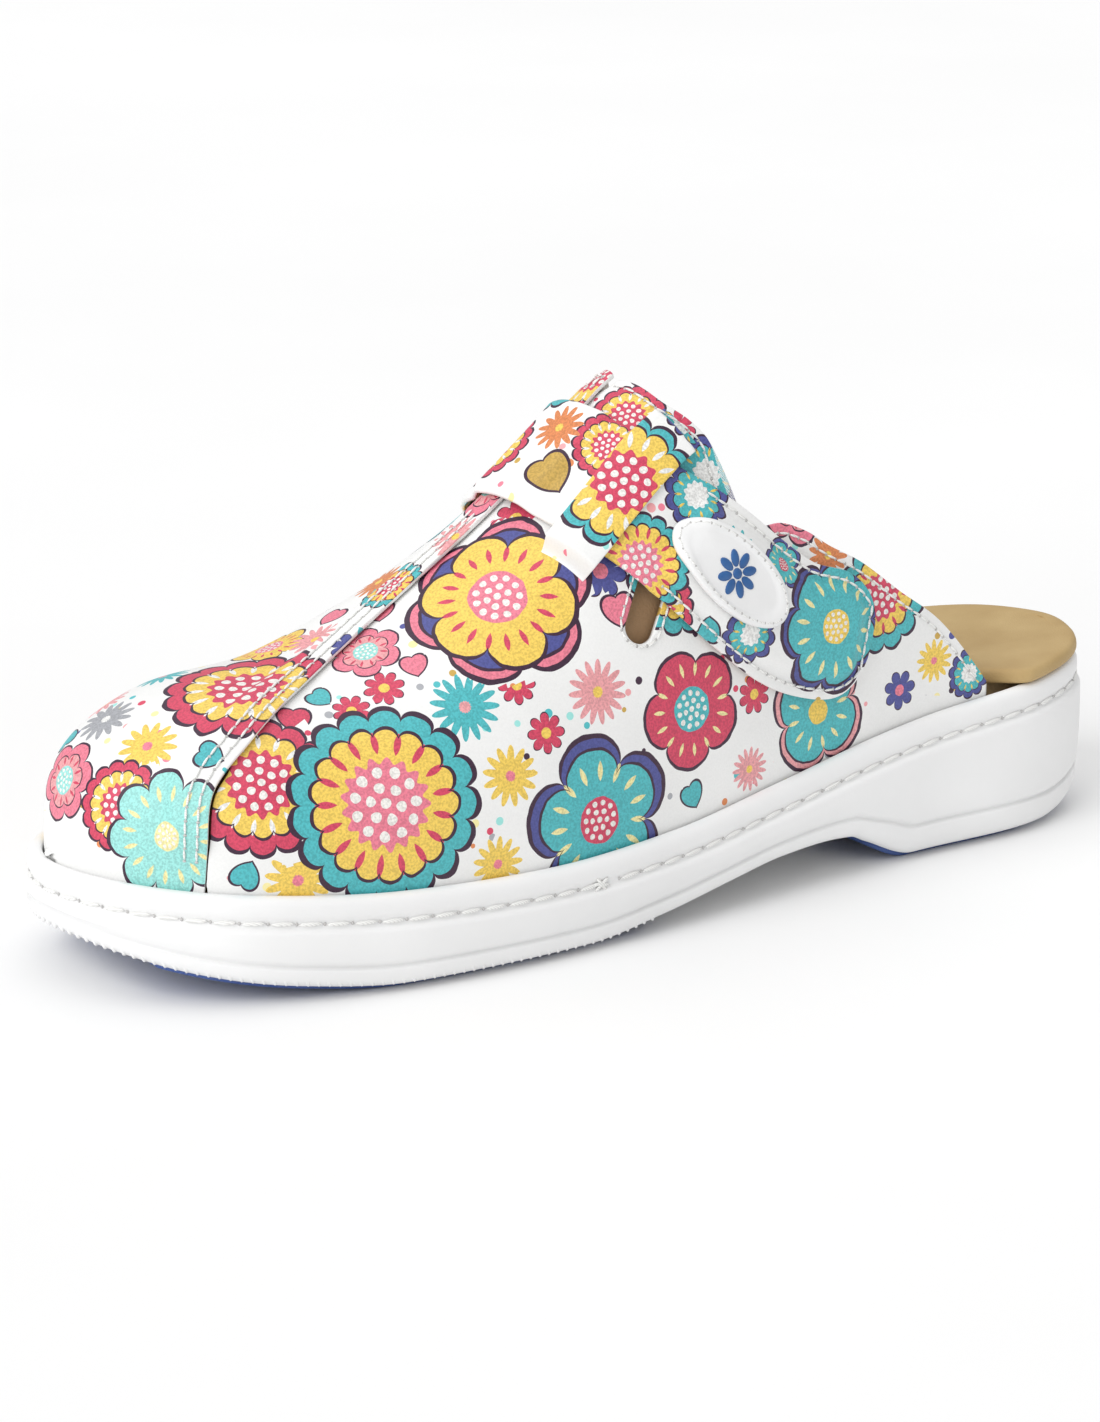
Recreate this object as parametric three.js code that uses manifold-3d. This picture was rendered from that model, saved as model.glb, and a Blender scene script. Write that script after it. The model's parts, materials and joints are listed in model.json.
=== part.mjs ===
// A closed-toe comfort clog with no heel back: a moulded cup sole with tread pads, a loose footbed,
// a two-panel printed leather upper with its lining, and an instep strap that ends in a peel-off tab.
// Millimetres, +Z up. The toe points to -X, the heel to +X and the outer side of the foot to -Y.
import * as THREE from 'three';
import { mergeVertices } from 'three/addons/utils/BufferGeometryUtils.js';
import Module from 'manifold-3d';

const wasm = await Module();
wasm.setup();

// ---- Driving dimensions ---------------------------------------------------------------------------
const SOLE_LENGTH = 262;        // outside length of the cup sole
const SOLE_WIDTH = 87.5;        // outside width at the ball of the foot
const INSTEP_HEIGHT = 89;       // crown of the upper above the rim, at the throat
const HEEL_RIM_HEIGHT = 37.5;   // rim above the floor at the back of the heel
const STRAP_WIDTH = 27;         // instep strap
const LEATHER = 1.1;            // upper and strap leather
const LINING = 0.9;             // upper lining
const BACKING = 0.6;            // strap lining, tab backing, hook and loop
const FOOTBED_THICKNESS = 3.2;  // top layer of the footbed, where it shows at the heel
const RIM_WALL = 4.2;           // from the widest line of the sole to the inner wall of its rim
const CUP_DEPTH = 7;            // from the rim down to the inner floor of the sole
const TREAD_SHOWING = 1.3;      // how far the tread pads stand below the white sole
const TREAD_THICKNESS = 3;
const THREAD = 0.8;             // sewing thread
const GAP = 0.3;                // clearance between pieces that lie on one another
const LINING_ROOM = 1.15;       // between the leather and its lining
const STRAP_SHORT = 0.7;        // the fixed strap ends this far before the root of the tab
const PEEL = 0.4;               // and the tab starts this far past it, so that it can swing

// ---- Drawn curves -----------------------------------------------------------------------------------
// The curves below are drawn on a last of this size, and stretched to the driving dimensions.
const DRAWN_LENGTH = 262;
const DRAWN_WIDTH = 87.5;
const DRAWN_INSTEP = 89;
const DRAWN_HEEL = 37.5;
const stretchX = SOLE_LENGTH / DRAWN_LENGTH;
const stretchY = SOLE_WIDTH / DRAWN_WIDTH;
const stretchZ = HEEL_RIM_HEIGHT / DRAWN_HEEL;

// Widest line of the sole seen from above, toe to heel along the inner side and back along the outer.
const OUTLINE = [
  [0, 4], [5, 20.5], [22, 34.5], [52, 41.5], [82, 42], [118, 35.5], [160, 29.5], [200, 29], [232, 29],
  [252, 19], [260.5, 6], [262, -4], [255, -20], [236, -31], [200, -33.5], [160, -38], [120, -43.5],
  [88, -45.5], [55, -43], [25, -33], [7, -15.5],
];
// Height of the rim along the shoe, and height of the underside, which arches between ball and heel.
const RIM = [[0, 26], [30, 23.8], [60, 21.5], [100, 20.3], [130, 21.8], [160, 26], [190, 31], [220, 34.5], [262, 37.5]];
const UNDERSIDE = [[0, 12], [8, 9], [20, 5.5], [40, 2], [62, 0], [106, 0], [125, 2.2], [145, 5.4], [160, 7.6],
  [172, 8.2], [181, 7.6], [186, 5.4], [200, 0], [238, 0], [252, 2], [262, 7]];
// Crown of the upper above the rim. Behind the throat it is the ankle that the quarters would close on.
const CROWN = [[0, 0], [3.5, 16.5], [8.5, 23.7], [17, 29.6], [31, 35.5], [51, 39], [75, 49.1], [97, 62.8],
  [118, 79], [132, 89], [150, 94], [180, 99], [235, 102]];

// Lines on the upper: [station along the shoe, degrees round from the outer rim (0) to the inner (180)].
const SEAM = [[23, 1.4], [23.9, 13], [27.3, 35], [36.8, 50.4], [49.7, 66.8], [62.7, 77.6], [83, 86.1],
  [101, 89], [122, 89], [138, 91]];
const TOPLINE = [[138, 91], [141.8, 71.4], [146.4, 61.7], [149.4, 55], [150.3, 47], [153, 40], [158, 35.8],
  [164.5, 34.2], [171, 31], [177, 27.2], [185.3, 23], [196.4, 16.7], [207.7, 10.9], [221, 1.5]];
// The middle of the strap, from its sewn end on the inner side over the crown to the tip of its tab.
const BAND = [[143, 155], [134, 143], [126.5, 130], [121.5, 117], [119.5, 104], [119.2, 90], [120.3, 78],
  [123.2, 66], [128, 54.5], [134, 45.5], [142, 36.5], [152.5, 27], [163, 20], [175, 15.6], [186, 12.4]];
const TAB_ROOT_X = 133;
const KEEPER_FRONT = 124.5 - STRAP_WIDTH / 2;   // the keeper reaches a little past both edges of the strap
const KEEPER_BACK = 131 + STRAP_WIDTH / 2;
const KEEPER_LINE = [[KEEPER_FRONT, 56.7], [127, 59.5], [137, 61], [KEEPER_BACK, 62]];
const SLOT_LINE = [[122.6, 30.6], [128, 36.5], [133, 42]];

// ---- Interpolation ----------------------------------------------------------------------------------
const lerp = THREE.MathUtils.lerp;
const clamp = THREE.MathUtils.clamp;
const smoothstep = THREE.MathUtils.smoothstep;

// A curve through height knots that never overshoots them, so flat stretches stay flat.
function profile(knots, scaleX, scaleZ) {
  const x = knots.map((k) => k[0] * scaleX);
  const z = knots.map((k) => k[1] * scaleZ);
  const last = x.length - 1;
  const rise = (i) => (z[i + 1] - z[i]) / (x[i + 1] - x[i]);
  const slope = x.map((_, i) => {
    if (i === 0) return rise(0);
    if (i === last) return rise(last - 1);
    const before = rise(i - 1);
    const after = rise(i);
    return before * after <= 0 ? 0 : (2 * before * after) / (before + after);
  });
  return (at) => {
    const c = clamp(at, x[0], x[last]);
    let i = 0;
    while (i < last - 1 && c > x[i + 1]) i += 1;
    const h = x[i + 1] - x[i];
    const t = (c - x[i]) / h;
    const straight = (1 + 2 * t) * (1 - t) ** 2 * z[i] + (3 - 2 * t) * t ** 2 * z[i + 1];
    return straight + h * t * (1 - t) * ((1 - t) * slope[i] - t * slope[i + 1]);
  };
}

const rimZ = profile(RIM, stretchX, stretchZ);
const underZ = profile(UNDERSIDE, stretchX, stretchZ);

// The widest line of the sole, as a dense closed loop that starts at the toe and runs up the inner side.
const outlineLoop = (() => {
  const corners = OUTLINE.map(([x, y]) => new THREE.Vector3(x * stretchX, y * stretchY, 0));
  const curve = new THREE.CatmullRomCurve3(corners, true, 'centripetal');
  return curve.getPoints(OUTLINE.length * 24).slice(0, -1);
})();

// The same loop drawn in by a distance, split into its inner and outer side. Kept once worked out.
const insetLoops = new Map();
function insetOutline(inset) {
  if (insetLoops.has(inset)) return insetLoops.get(inset);
  const n = outlineLoop.length;
  const loop = outlineLoop.map((p, i) => {
    const tangent = outlineLoop[(i + 1) % n].clone().sub(outlineLoop[(i + n - 1) % n]).normalize();
    return [p.x + tangent.y * inset, p.y - tangent.x * inset];
  });
  const toe = loop.reduce((best, p, i) => (p[0] < loop[best][0] ? i : best), 0);
  const ring = loop.slice(toe).concat(loop.slice(0, toe + 1));
  const heel = ring.reduce((best, p, i) => (p[0] > ring[best][0] ? i : best), 0);
  const sides = { inner: ring.slice(0, heel + 1), outer: ring.slice(heel).reverse() };
  sides.toe = ring[0][0];
  sides.heel = ring[heel][0];
  insetLoops.set(inset, sides);
  return sides;
}

function acrossAt(points, x) {
  let low = 0;
  let high = points.length - 1;
  while (high - low > 1) {
    const middle = (low + high) >> 1;
    if (points[middle][0] <= x) low = middle;
    else high = middle;
  }
  const [a, b] = [points[low], points[high]];
  return b[0] === a[0] ? a[1] : lerp(a[1], b[1], clamp((x - a[0]) / (b[0] - a[0]), 0, 1));
}

// Outer (low) and inner (high) edge of the drawn-in outline at one station.
function edgesAt(x, inset) {
  const sides = insetOutline(inset);
  const at = clamp(x, sides.toe, sides.heel);
  return [acrossAt(sides.outer, at), acrossAt(sides.inner, at)];
}

// ---- The skin: outer face of the upper leather -------------------------------------------------------
const UPPER_INSET = RIM_WALL + GAP;
const TOE_X = insetOutline(UPPER_INSET).toe;
const crownHeight = profile(CROWN, stretchX, INSTEP_HEIGHT / DRAWN_INSTEP);
const SQUARE_AT_TOE = 2.43;
const SQUARE_AT_INSTEP = 2.1;
const LEAN_AT_TOE = 2.9;
const LEAN_AT_INSTEP = 0.9;

// A section across the shoe is a rounded arch: squarer at the toe, and rounder over the instep.
function archPoint(x, degrees) {
  const angle = THREE.MathUtils.degToRad(clamp(degrees, 0, 180));
  const back = clamp((x - TOE_X) / (130 * stretchX), 0, 1);
  const power = 2 / lerp(SQUARE_AT_TOE, SQUARE_AT_INSTEP, back);
  const [outer, inner] = edgesAt(x, UPPER_INSET);
  const c = Math.cos(angle);
  const s = Math.max(Math.sin(angle), 0);
  const lean = lerp(LEAN_AT_TOE, LEAN_AT_INSTEP, back) * s * s;
  const y = (outer + inner) / 2 - ((inner - outer) / 2) * Math.sign(c) * Math.abs(c) ** power + lean;
  return new THREE.Vector3(x, y, rimZ(x) + crownHeight(x - TOE_X) * s ** power);
}

function slopes(x, degrees) {
  const dx = Math.min(0.4, Math.max((x - TOE_X) * 0.5, 0.004));
  const low = clamp(degrees - 1, 0, 178);
  const alongX = archPoint(x + dx, degrees).sub(archPoint(x - dx, degrees)).divideScalar(2 * dx);
  const round = archPoint(x, low + 2).sub(archPoint(x, low)).divideScalar(2);
  return { alongX, round };
}

// A point of the skin, lifted outwards by a distance.
function skin(x, degrees, lift) {
  const { alongX, round } = slopes(x, degrees);
  const outward = new THREE.Vector3().crossVectors(alongX, round).normalize();
  if (degrees <= 0 || degrees >= 180) outward.setZ(0).normalize();
  return archPoint(x, degrees).addScaledVector(outward, lift);
}

// A line on the skin, followed by the share of its length that has been walked.
function drawnLine(points) {
  const corners = points.map(([x, degrees]) => new THREE.Vector3(x * stretchX, degrees, 0));
  const curve = new THREE.CatmullRomCurve3(corners, false, 'centripetal');
  const steps = 240;
  const onSkin = curve.getPoints(steps).map((p) => archPoint(p.x, p.y));
  const walked = [0];
  onSkin.slice(1).forEach((p, i) => walked.push(walked[i] + p.distanceTo(onSkin[i])));
  const length = walked[steps];
  const along = (t) => {
    const wanted = clamp(t, 0, 1) * length;
    let i = 1;
    while (i < steps && walked[i] < wanted) i += 1;
    return (i - 1 + (wanted - walked[i - 1]) / (walked[i] - walked[i - 1])) / steps;
  };
  return {
    length,
    at: (t) => curve.getPoint(along(t)),
    heading: (t) => curve.getTangent(along(t)),
  };
}

// The place on the skin that lies a distance to the left of a line, seen from outside.
function beside(line, t, distance) {
  const at = line.at(t);
  const heading = line.heading(t);
  const { alongX, round } = slopes(at.x, at.y);
  const outward = new THREE.Vector3().crossVectors(alongX, round).normalize();
  const forward = alongX.clone().multiplyScalar(heading.x).addScaledVector(round, heading.y);
  const side = new THREE.Vector3().crossVectors(outward, forward).normalize().multiplyScalar(distance);
  const xx = alongX.dot(alongX);
  const rr = round.dot(round);
  const xr = alongX.dot(round);
  const det = xx * rr - xr * xr;
  const shiftX = (side.dot(alongX) * rr - side.dot(round) * xr) / det;
  const shiftRound = (side.dot(round) * xx - side.dot(alongX) * xr) / det;
  return [at.x + shiftX, at.y + shiftRound];
}

const mirrored = (points) => points.map(([x, degrees]) => [x, 180 - degrees]);
const seamLine = drawnLine(SEAM);
const outerTopline = drawnLine(TOPLINE);
const innerTopline = drawnLine([TOPLINE[0], ...mirrored(TOPLINE.slice(1))]);
const bandLine = drawnLine(BAND);
const keeperLine = drawnLine(KEEPER_LINE);
const slotLine = drawnLine(SLOT_LINE);

// ---- Solids -------------------------------------------------------------------------------------------
// Bends a finely divided block: place(u, v, w) says where each point of the unit block goes.
function bend(stepsU, stepsV, stepsW, place) {
  const block = new THREE.BoxGeometry(1, 1, 1, stepsU, stepsV, stepsW);
  const position = block.attributes.position;
  for (let i = 0; i < position.count; i += 1) {
    const u = position.getX(i) + 0.5;
    const v = position.getY(i) + 0.5;
    const w = position.getZ(i) + 0.5;
    const p = place(u, v, w);
    position.setXYZ(i, p.x, p.y, p.z);
  }
  alignDiagonals(block);
  return closed(block);
}

// Splits the squares of the block's back along the same diagonals as its front, so that a thin sheet
// keeps its thickness where it twists.
function alignDiagonals(block) {
  const { start, count } = block.groups[5];
  for (let i = start; i < start + count; i += 6) {
    const [a, b, d, , c] = Array.from({ length: 6 }, (_, k) => block.index.getX(i + k));
    [a, b, c, a, c, d].forEach((corner, k) => block.index.setX(i + k, corner));
  }
}

// Merges the points that meet, and turns the faces outwards.
function closed(geometry) {
  geometry.deleteAttribute('normal');
  geometry.deleteAttribute('uv');
  const merged = mergeVertices(geometry, 1e-4);
  const p = merged.attributes.position;
  const index = [];
  for (let i = 0; i < merged.index.count; i += 3) {
    const [a, b, c] = [0, 1, 2].map((k) => merged.index.getX(i + k));
    if (a !== b && b !== c && c !== a) index.push(a, b, c);
  }
  const corner = (i) => new THREE.Vector3().fromBufferAttribute(p, i);
  let volume = 0;
  for (let i = 0; i < index.length; i += 3) {
    volume += corner(index[i]).dot(corner(index[i + 1]).cross(corner(index[i + 2])));
  }
  if (volume < 0) index.reverse();
  merged.setIndex(index);
  return merged;
}

function toSolid(geometry) {
  return new wasm.Manifold(new wasm.Mesh({
    numProp: 3,
    vertProperties: new Float32Array(geometry.attributes.position.array),
    triVerts: new Uint32Array(geometry.index.array),
  }));
}

function toGeometry(solid) {
  const mesh = solid.getMesh();
  const geometry = new THREE.BufferGeometry();
  geometry.setAttribute('position', new THREE.BufferAttribute(new Float32Array(mesh.vertProperties), 3));
  geometry.setIndex(new THREE.BufferAttribute(new Uint32Array(mesh.triVerts), 1));
  return geometry;
}

// Width of a rounded end, from 1 where it starts to 0 at its tip.
const rounded = (along, power) => (1 - clamp(along, 0, 1) ** power) ** (1 / power);

// Evenly spaced in the middle and closer together at both ends, where outlines turn.
const endsFine = (u) => (1 - Math.cos(Math.PI * u)) / 2;

// A slab over the whole footprint, given its levels from the bottom up as { inset, z(x) }.
function footSlab(levels, stepsU, stepsV) {
  return bend(stepsU, stepsV, levels.length - 1, (u, v, w) => {
    const level = levels[Math.round(w * (levels.length - 1))];
    const sides = insetOutline(level.inset);
    const x = lerp(sides.toe, sides.heel, endsFine(u));
    const [outer, inner] = edgesAt(x, level.inset);
    return new THREE.Vector3(x, lerp(outer, inner, v), level.z(x));
  });
}

const PAD_CORNER = 12;

// A slab over part of the footprint, from one station to another, with rounded ends.
function padSlab(from, to, inset, low, high, stepsU) {
  const sides = insetOutline(inset);
  const start = Math.max(from, sides.toe);
  const end = Math.min(to, sides.heel);
  return bend(stepsU, 1, 1, (u, v, w) => {
    const x = lerp(start, end, endsFine(u));
    const [outer, inner] = edgesAt(x, inset);
    const fromEnd = Math.min(start > sides.toe ? x - start : 99, end < sides.heel ? end - x : 99);
    const round = Math.sqrt(1 - (1 - clamp(fromEnd / PAD_CORNER, 0, 1)) ** 2);
    const middle = (outer + inner) / 2;
    const across = lerp(outer, inner, v);
    return new THREE.Vector3(x, lerp(middle, across, Math.max(round, 0.35)), w < 0.5 ? low(x) : high(x));
  });
}

// A strip laid along a stretch of a line on the skin. half(t) is its half width, and low and high give its
// lifts at the share t of the line and an offset to its left.
function ribbon({ line, from = 0, to = 1, half, low, high, stepsT, stepsV, spacing = (u) => u }) {
  return bend(stepsT, stepsV, 1, (u, v, w) => {
    const t = lerp(from, to, spacing(u));
    const offset = half(t) * (2 * v - 1);
    const [x, degrees] = beside(line, t, offset);
    return skin(x, degrees, w < 0.5 ? low(t, offset) : high(t, offset));
  });
}

// A sewing thread laid along the skin at a lift, square in section.
function thread(place, steps) {
  return bend(steps, 1, 1, (u, v, w) => place(u, (v - 0.5) * THREAD, (w - 0.5) * THREAD));
}

function threadBeside(line, from, to, distance, lift, steps) {
  return thread((u, across, up) => {
    const [x, degrees] = beside(line, lerp(from, to, u), distance + across);
    return skin(x, degrees, lift + THREAD / 2 + up);
  }, steps);
}

// ---- Sole -----------------------------------------------------------------------------------------------
const bandHeight = (x) => clamp(0.27 * (rimZ(x) - underZ(x)), 3.6, 8);
const SOLE_LEVELS = [
  { inset: 4, z: (x) => underZ(x) + TREAD_SHOWING },
  { inset: 1.9, z: (x) => underZ(x) + TREAD_SHOWING + 0.9 },
  { inset: 0.7, z: (x) => underZ(x) + bandHeight(x) * 0.65 },
  { inset: 0.6, z: (x) => underZ(x) + bandHeight(x) },
  { inset: 1.5, z: (x) => underZ(x) + bandHeight(x) + 0.6 },
  { inset: 0.4, z: (x) => underZ(x) + bandHeight(x) + 1.4 },
  { inset: 0, z: (x) => lerp(underZ(x) + bandHeight(x), rimZ(x), 0.5) },
  { inset: 0.1, z: (x) => rimZ(x) - 7.2 },
  { inset: 1.3, z: (x) => rimZ(x) - 6.2 },
  { inset: 1.4, z: (x) => rimZ(x) - 4.8 },
  { inset: 0.9, z: (x) => rimZ(x) - 3.6 },
  { inset: 1.5, z: (x) => rimZ(x) - 1 },
  { inset: 2.6, z: (x) => rimZ(x) },
];
const SEWING_LINE = 5.5;        // sidewall stitches, below the rim
const SOLE_STEPS = Math.round(SOLE_LENGTH / 7.7);
const SEWING_STEPS = Math.round(SOLE_LENGTH / 4.1);
const cupFloor = (x) => rimZ(x) - CUP_DEPTH;
const TREAD_INSET = 5.5;
const FOREFOOT_TREAD = [16 * stretchX, 132 * stretchX];
const HEEL_TREAD = [184 * stretchX, 255 * stretchX];

function treadSlab([from, to], clearance) {
  const low = (x) => underZ(x) - (clearance ? 2 : 0);
  const high = (x) => underZ(x) + TREAD_THICKNESS + clearance;
  return padSlab(from - clearance, to + clearance, TREAD_INSET - clearance, low, high, 20);
}

function soleUnit() {
  const body = toSolid(footSlab(SOLE_LEVELS, SOLE_STEPS, 1));
  const cavity = toSolid(footSlab([
    { inset: RIM_WALL, z: cupFloor },
    { inset: RIM_WALL, z: (x) => rimZ(x) + 5 },
  ], SOLE_STEPS, 1));
  const frontRecess = toSolid(treadSlab(FOREFOOT_TREAD, GAP));
  const heelRecess = toSolid(treadSlab(HEEL_TREAD, GAP));
  return toGeometry(body.subtract(cavity).subtract(frontRecess).subtract(heelRecess));
}

// The stitches start and end at one point on the outer side, where the thread ends are tied.
function sidewallThread() {
  const tied = 108 * stretchX;
  const { inner, outer, toe, heel } = insetOutline(0.5);
  const loop = outer.slice(1).reverse().concat(inner.slice(0, -1));
  const corners = loop.filter((_, i) => i % 6 === 0).map(([x, y]) => new THREE.Vector3(x, y, 0));
  const curve = new THREE.CatmullRomCurve3(corners, true, 'centripetal');
  const lengths = curve.getSpacedPoints(400);
  const start = lengths.reduce((best, p, i) => {
    const off = (q) => Math.abs(q.x - tied) + (q.y > 0 ? heel - toe : 0);
    return off(p) < off(lengths[best]) ? i : best;
  }, 0);
  return thread((u, across, up) => {
    const t = (start / 400 + lerp(0.008, 0.992, u)) % 1;
    const p = curve.getPointAt(t);
    const tangent = curve.getTangentAt(t);
    const x = p.x + tangent.y * up;
    const y = p.y - tangent.x * up;
    return new THREE.Vector3(x, y, rimZ(p.x) - SEWING_LINE + across);
  }, SEWING_STEPS);
}

// ---- Inside the cup ---------------------------------------------------------------------------------------
const LINING_INSIDE = UPPER_INSET + LEATHER + LINING_ROOM + LINING;
const BOARD_THICKNESS = 1.5;
const boardZ = (x) => cupFloor(x) + GAP;
const coreZ = (x) => boardZ(x) + BOARD_THICKNESS + GAP;
const FOOTBED_ROOM = 1.6;       // lets the footbed be lifted out past the lining
const FOOTBED_INSET = LINING_INSIDE + FOOTBED_ROOM;
const coverZ = (x) => rimZ(x) + 0.4;
const HEEL_OPEN = 223 * stretchX;
const HEEL_WIDE = 233 * stretchX;
const FOOTBED_HEEL_INSET = 1.2;

function insoleBoard() {
  return footSlab([
    { inset: LINING_INSIDE + GAP, z: boardZ },
    { inset: LINING_INSIDE + GAP, z: (x) => boardZ(x) + BOARD_THICKNESS },
  ], 26, 1);
}

function footbedCore() {
  return footSlab([
    { inset: FOOTBED_INSET, z: coreZ },
    { inset: FOOTBED_INSET, z: (x) => coverZ(x) - GAP },
  ], 26, 1);
}

// The top layer keeps inside the lining under the upper, and spreads over the rim at the open heel.
function footbedCover() {
  const start = insetOutline(FOOTBED_INSET).toe;
  const end = insetOutline(FOOTBED_HEEL_INSET).heel;
  return bend(30, 1, 2, (u, v, w) => {
    const x = lerp(start, end, endsFine(u));
    const spread = smoothstep(x, HEEL_OPEN, HEEL_WIDE);
    const narrow = edgesAt(x, FOOTBED_INSET);
    const wide = edgesAt(x, FOOTBED_HEEL_INSET);
    const pinch = w === 0.5 ? 0 : 0.6;
    const outer = lerp(narrow[0], wide[0], spread) + pinch;
    const inner = lerp(narrow[1], wide[1], spread) - pinch;
    return new THREE.Vector3(x, lerp(outer, inner, v), coverZ(x) + FOOTBED_THICKNESS * w);
  });
}

// ---- Upper ------------------------------------------------------------------------------------------------
const LAP = 6.5;                // the toe panel laps over the outer quarter along the seam
const LAP_FALL = 4;             // and falls to the last beyond the lap
const LAP_LIFT = LEATHER + 0.6;
const UNDERLAY = 4.5;            // hidden edge of the quarter under the lap
const SKIRT = 4.6;              // lasted edge inside the cup

const seamPoints = Array.from({ length: 91 }, (_, i) => {
  const p = seamLine.at(i / 90);
  return archPoint(p.x, p.y);
});
function distanceToSeam(x, degrees) {
  const p = archPoint(x, degrees);
  return Math.min(...seamPoints.map((q) => q.distanceTo(p)));
}
// Near the rim the two panels meet edge to edge, so that both fit inside the cup.
const LAP_STARTS = 5;
const LAP_FULL = 12;
function lapLift(x, degrees) {
  const high = archPoint(x, degrees).z - rimZ(x);
  const near = 1 - smoothstep(distanceToSeam(x, degrees), LAP, LAP + LAP_FALL);
  return LAP_LIFT * near * smoothstep(high, LAP_STARTS, LAP_FULL);
}

// A panel of the upper between its cut edge and the rim. edge(t) and foot(t) are places on the skin.
// Rows of points follow the cut edge at the distances in NEAR_ROWS, and then spread evenly to the rim.
const NEAR_ROWS = [0, LAP, LAP + LAP_FALL, LAP + 2.5 * LAP_FALL];
const NEAR = NEAR_ROWS.length - 1;

function rowPlaces([edgeX, edgeDegrees], [footX, footDegrees], farRows) {
  const samples = 30;
  const at = (s) => [lerp(edgeX, footX, s), lerp(edgeDegrees, footDegrees, s)];
  const points = Array.from({ length: samples + 1 }, (_, i) => archPoint(...at(i / samples)));
  const lengths = [0];
  points.slice(1).forEach((p, i) => lengths.push(lengths[i] + p.distanceTo(points[i])));
  const total = lengths[samples];
  const lastRow = NEAR + farRows;
  return Array.from({ length: lastRow + 1 }, (_, row) => {
    const even = (total * row) / lastRow;
    const lastNear = Math.min(NEAR_ROWS[NEAR], (total * NEAR) / lastRow);
    const wanted = row <= NEAR ? Math.min(NEAR_ROWS[row], even) : lerp(lastNear, total, (row - NEAR) / farRows);
    let i = 1;
    while (i < samples && lengths[i] < wanted) i += 1;
    const inside = (wanted - lengths[i - 1]) / Math.max(lengths[i] - lengths[i - 1], 1e-6);
    return at(clamp((i - 1 + inside) / samples, 0, 1));
  });
}

function panel({ edge, foot, low, high, tucked, steps, farRows }) {
  const lastRow = NEAR + farRows;
  const columns = new Map();
  return bend(steps, lastRow + 1, 1, (u, v, w) => {
    if (!columns.has(u)) columns.set(u, rowPlaces(edge(u), foot(u), farRows));
    const row = Math.round(v * (lastRow + 1));
    const [x, degrees] = columns.get(u)[Math.min(row, lastRow)];
    const p = skin(x, degrees, w < 0.5 ? low(x, degrees) : high(x, degrees));
    if (row > lastRow || (row === 0 && tucked(u))) p.z -= SKIRT;
    return p;
  });
}

const REAR_X = 221 * stretchX;
const THROAT_FOOT_X = 150 * stretchX;
const SEAM_SHARE = 0.5;         // share of a quarter's cut edge that is seam; the rest is topline

function quarterEdge(shift, short = 0) {
  return (t) => {
    if (t > SEAM_SHARE) return beside(outerTopline, (t - SEAM_SHARE) / (1 - SEAM_SHARE), -short);
    const share = t / SEAM_SHARE;
    const under = smoothstep(share, 0.15, 0.23) * (1 - smoothstep(share, 0.93, 0.99));
    return beside(seamLine, share, lerp(Math.min(-GAP, shift), shift, under));
  };
}

function quarterFoot(startX) {
  return (t) => {
    if (t <= SEAM_SHARE) return [lerp(startX, THROAT_FOOT_X, (t / SEAM_SHARE) ** 1.3), 0];
    return [lerp(THROAT_FOOT_X, REAR_X, (t - SEAM_SHARE) / (1 - SEAM_SHARE)), 0];
  };
}

// The toe panel starts at the toe, follows the rim to the seam, then the seam, then the inner topline.
const TOE_SHARE = 0.2;
const TOE_SPREAD = 1.5;         // columns stand closer together towards the tip
const VAMP_SEAM_SHARE = 0.6;
function vampEdge(shift, start = TOE_X + 0.02, short = 0) {
  return (t) => {
    const [seamX] = beside(seamLine, 0, shift);
    if (t <= TOE_SHARE) return [lerp(start, seamX, (t / TOE_SHARE) ** TOE_SPREAD), 0];
    if (t <= VAMP_SEAM_SHARE) {
      return beside(seamLine, (t - TOE_SHARE) / (VAMP_SEAM_SHARE - TOE_SHARE), shift);
    }
    return beside(innerTopline, (t - VAMP_SEAM_SHARE) / (1 - VAMP_SEAM_SHARE), short);
  };
}

function vampFoot(start = TOE_X + 0.02) {
  const passed = 26 * stretchX;
  return (t) => {
    if (t <= TOE_SHARE) return [lerp(start, passed, (t / TOE_SHARE) ** TOE_SPREAD), 180];
    if (t > VAMP_SEAM_SHARE) {
      return [lerp(THROAT_FOOT_X, REAR_X, (t - VAMP_SEAM_SHARE) / (1 - VAMP_SEAM_SHARE)), 180];
    }
    return [lerp(passed, THROAT_FOOT_X, (t - TOE_SHARE) / (VAMP_SEAM_SHARE - TOE_SHARE)), 180];
  };
}

function medialVamp() {
  return panel({
    edge: vampEdge(0),
    foot: vampFoot(),
    low: (x, degrees) => lapLift(x, degrees) - LEATHER,
    high: lapLift,
    tucked: (u) => u <= TOE_SHARE,
    steps: 46,
    farRows: 7,
  });
}

// ---- Keeper and slot, both part of the outer quarter -----------------------------------------------------------
const STRAP_THICKNESS = LEATHER + GAP + BACKING + 0.15;
const KEEPER_LIFT = 0.55 + STRAP_THICKNESS + GAP;
const KEEPER_HALF = 5.6;
const SLOT_HALF = 3.6;
const halfStrap = STRAP_WIDTH / 2;

// The keeper is the strip of the quarter between two slits. It rises steeply over one edge of the strap and
// falls over the other, so its columns stand closer together towards its ends.
function keeperBridge() {
  const rise = (t) => smoothstep(t, 0, 0.08) * (1 - smoothstep(t, 0.9, 0.97));
  const low = (t) => lerp(-0.5 * LEATHER, KEEPER_LIFT, rise(t));
  const high = (t) => low(t) + LEATHER;
  const spacing = (u) => (1 - Math.cos(u * Math.PI)) / 2;
  return ribbon({ line: keeperLine, to: 0.98, half: () => KEEPER_HALF, low, high, stepsT: 18, stepsV: 3, spacing });
}

function keeperHole() {
  const half = () => KEEPER_HALF - 0.5;
  const line = keeperLine;
  return ribbon({ line, from: 0.2, to: 0.8, half, low: () => -LEATHER - 1, high: () => 1.2, stepsT: 6, stepsV: 2 });
}

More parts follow.
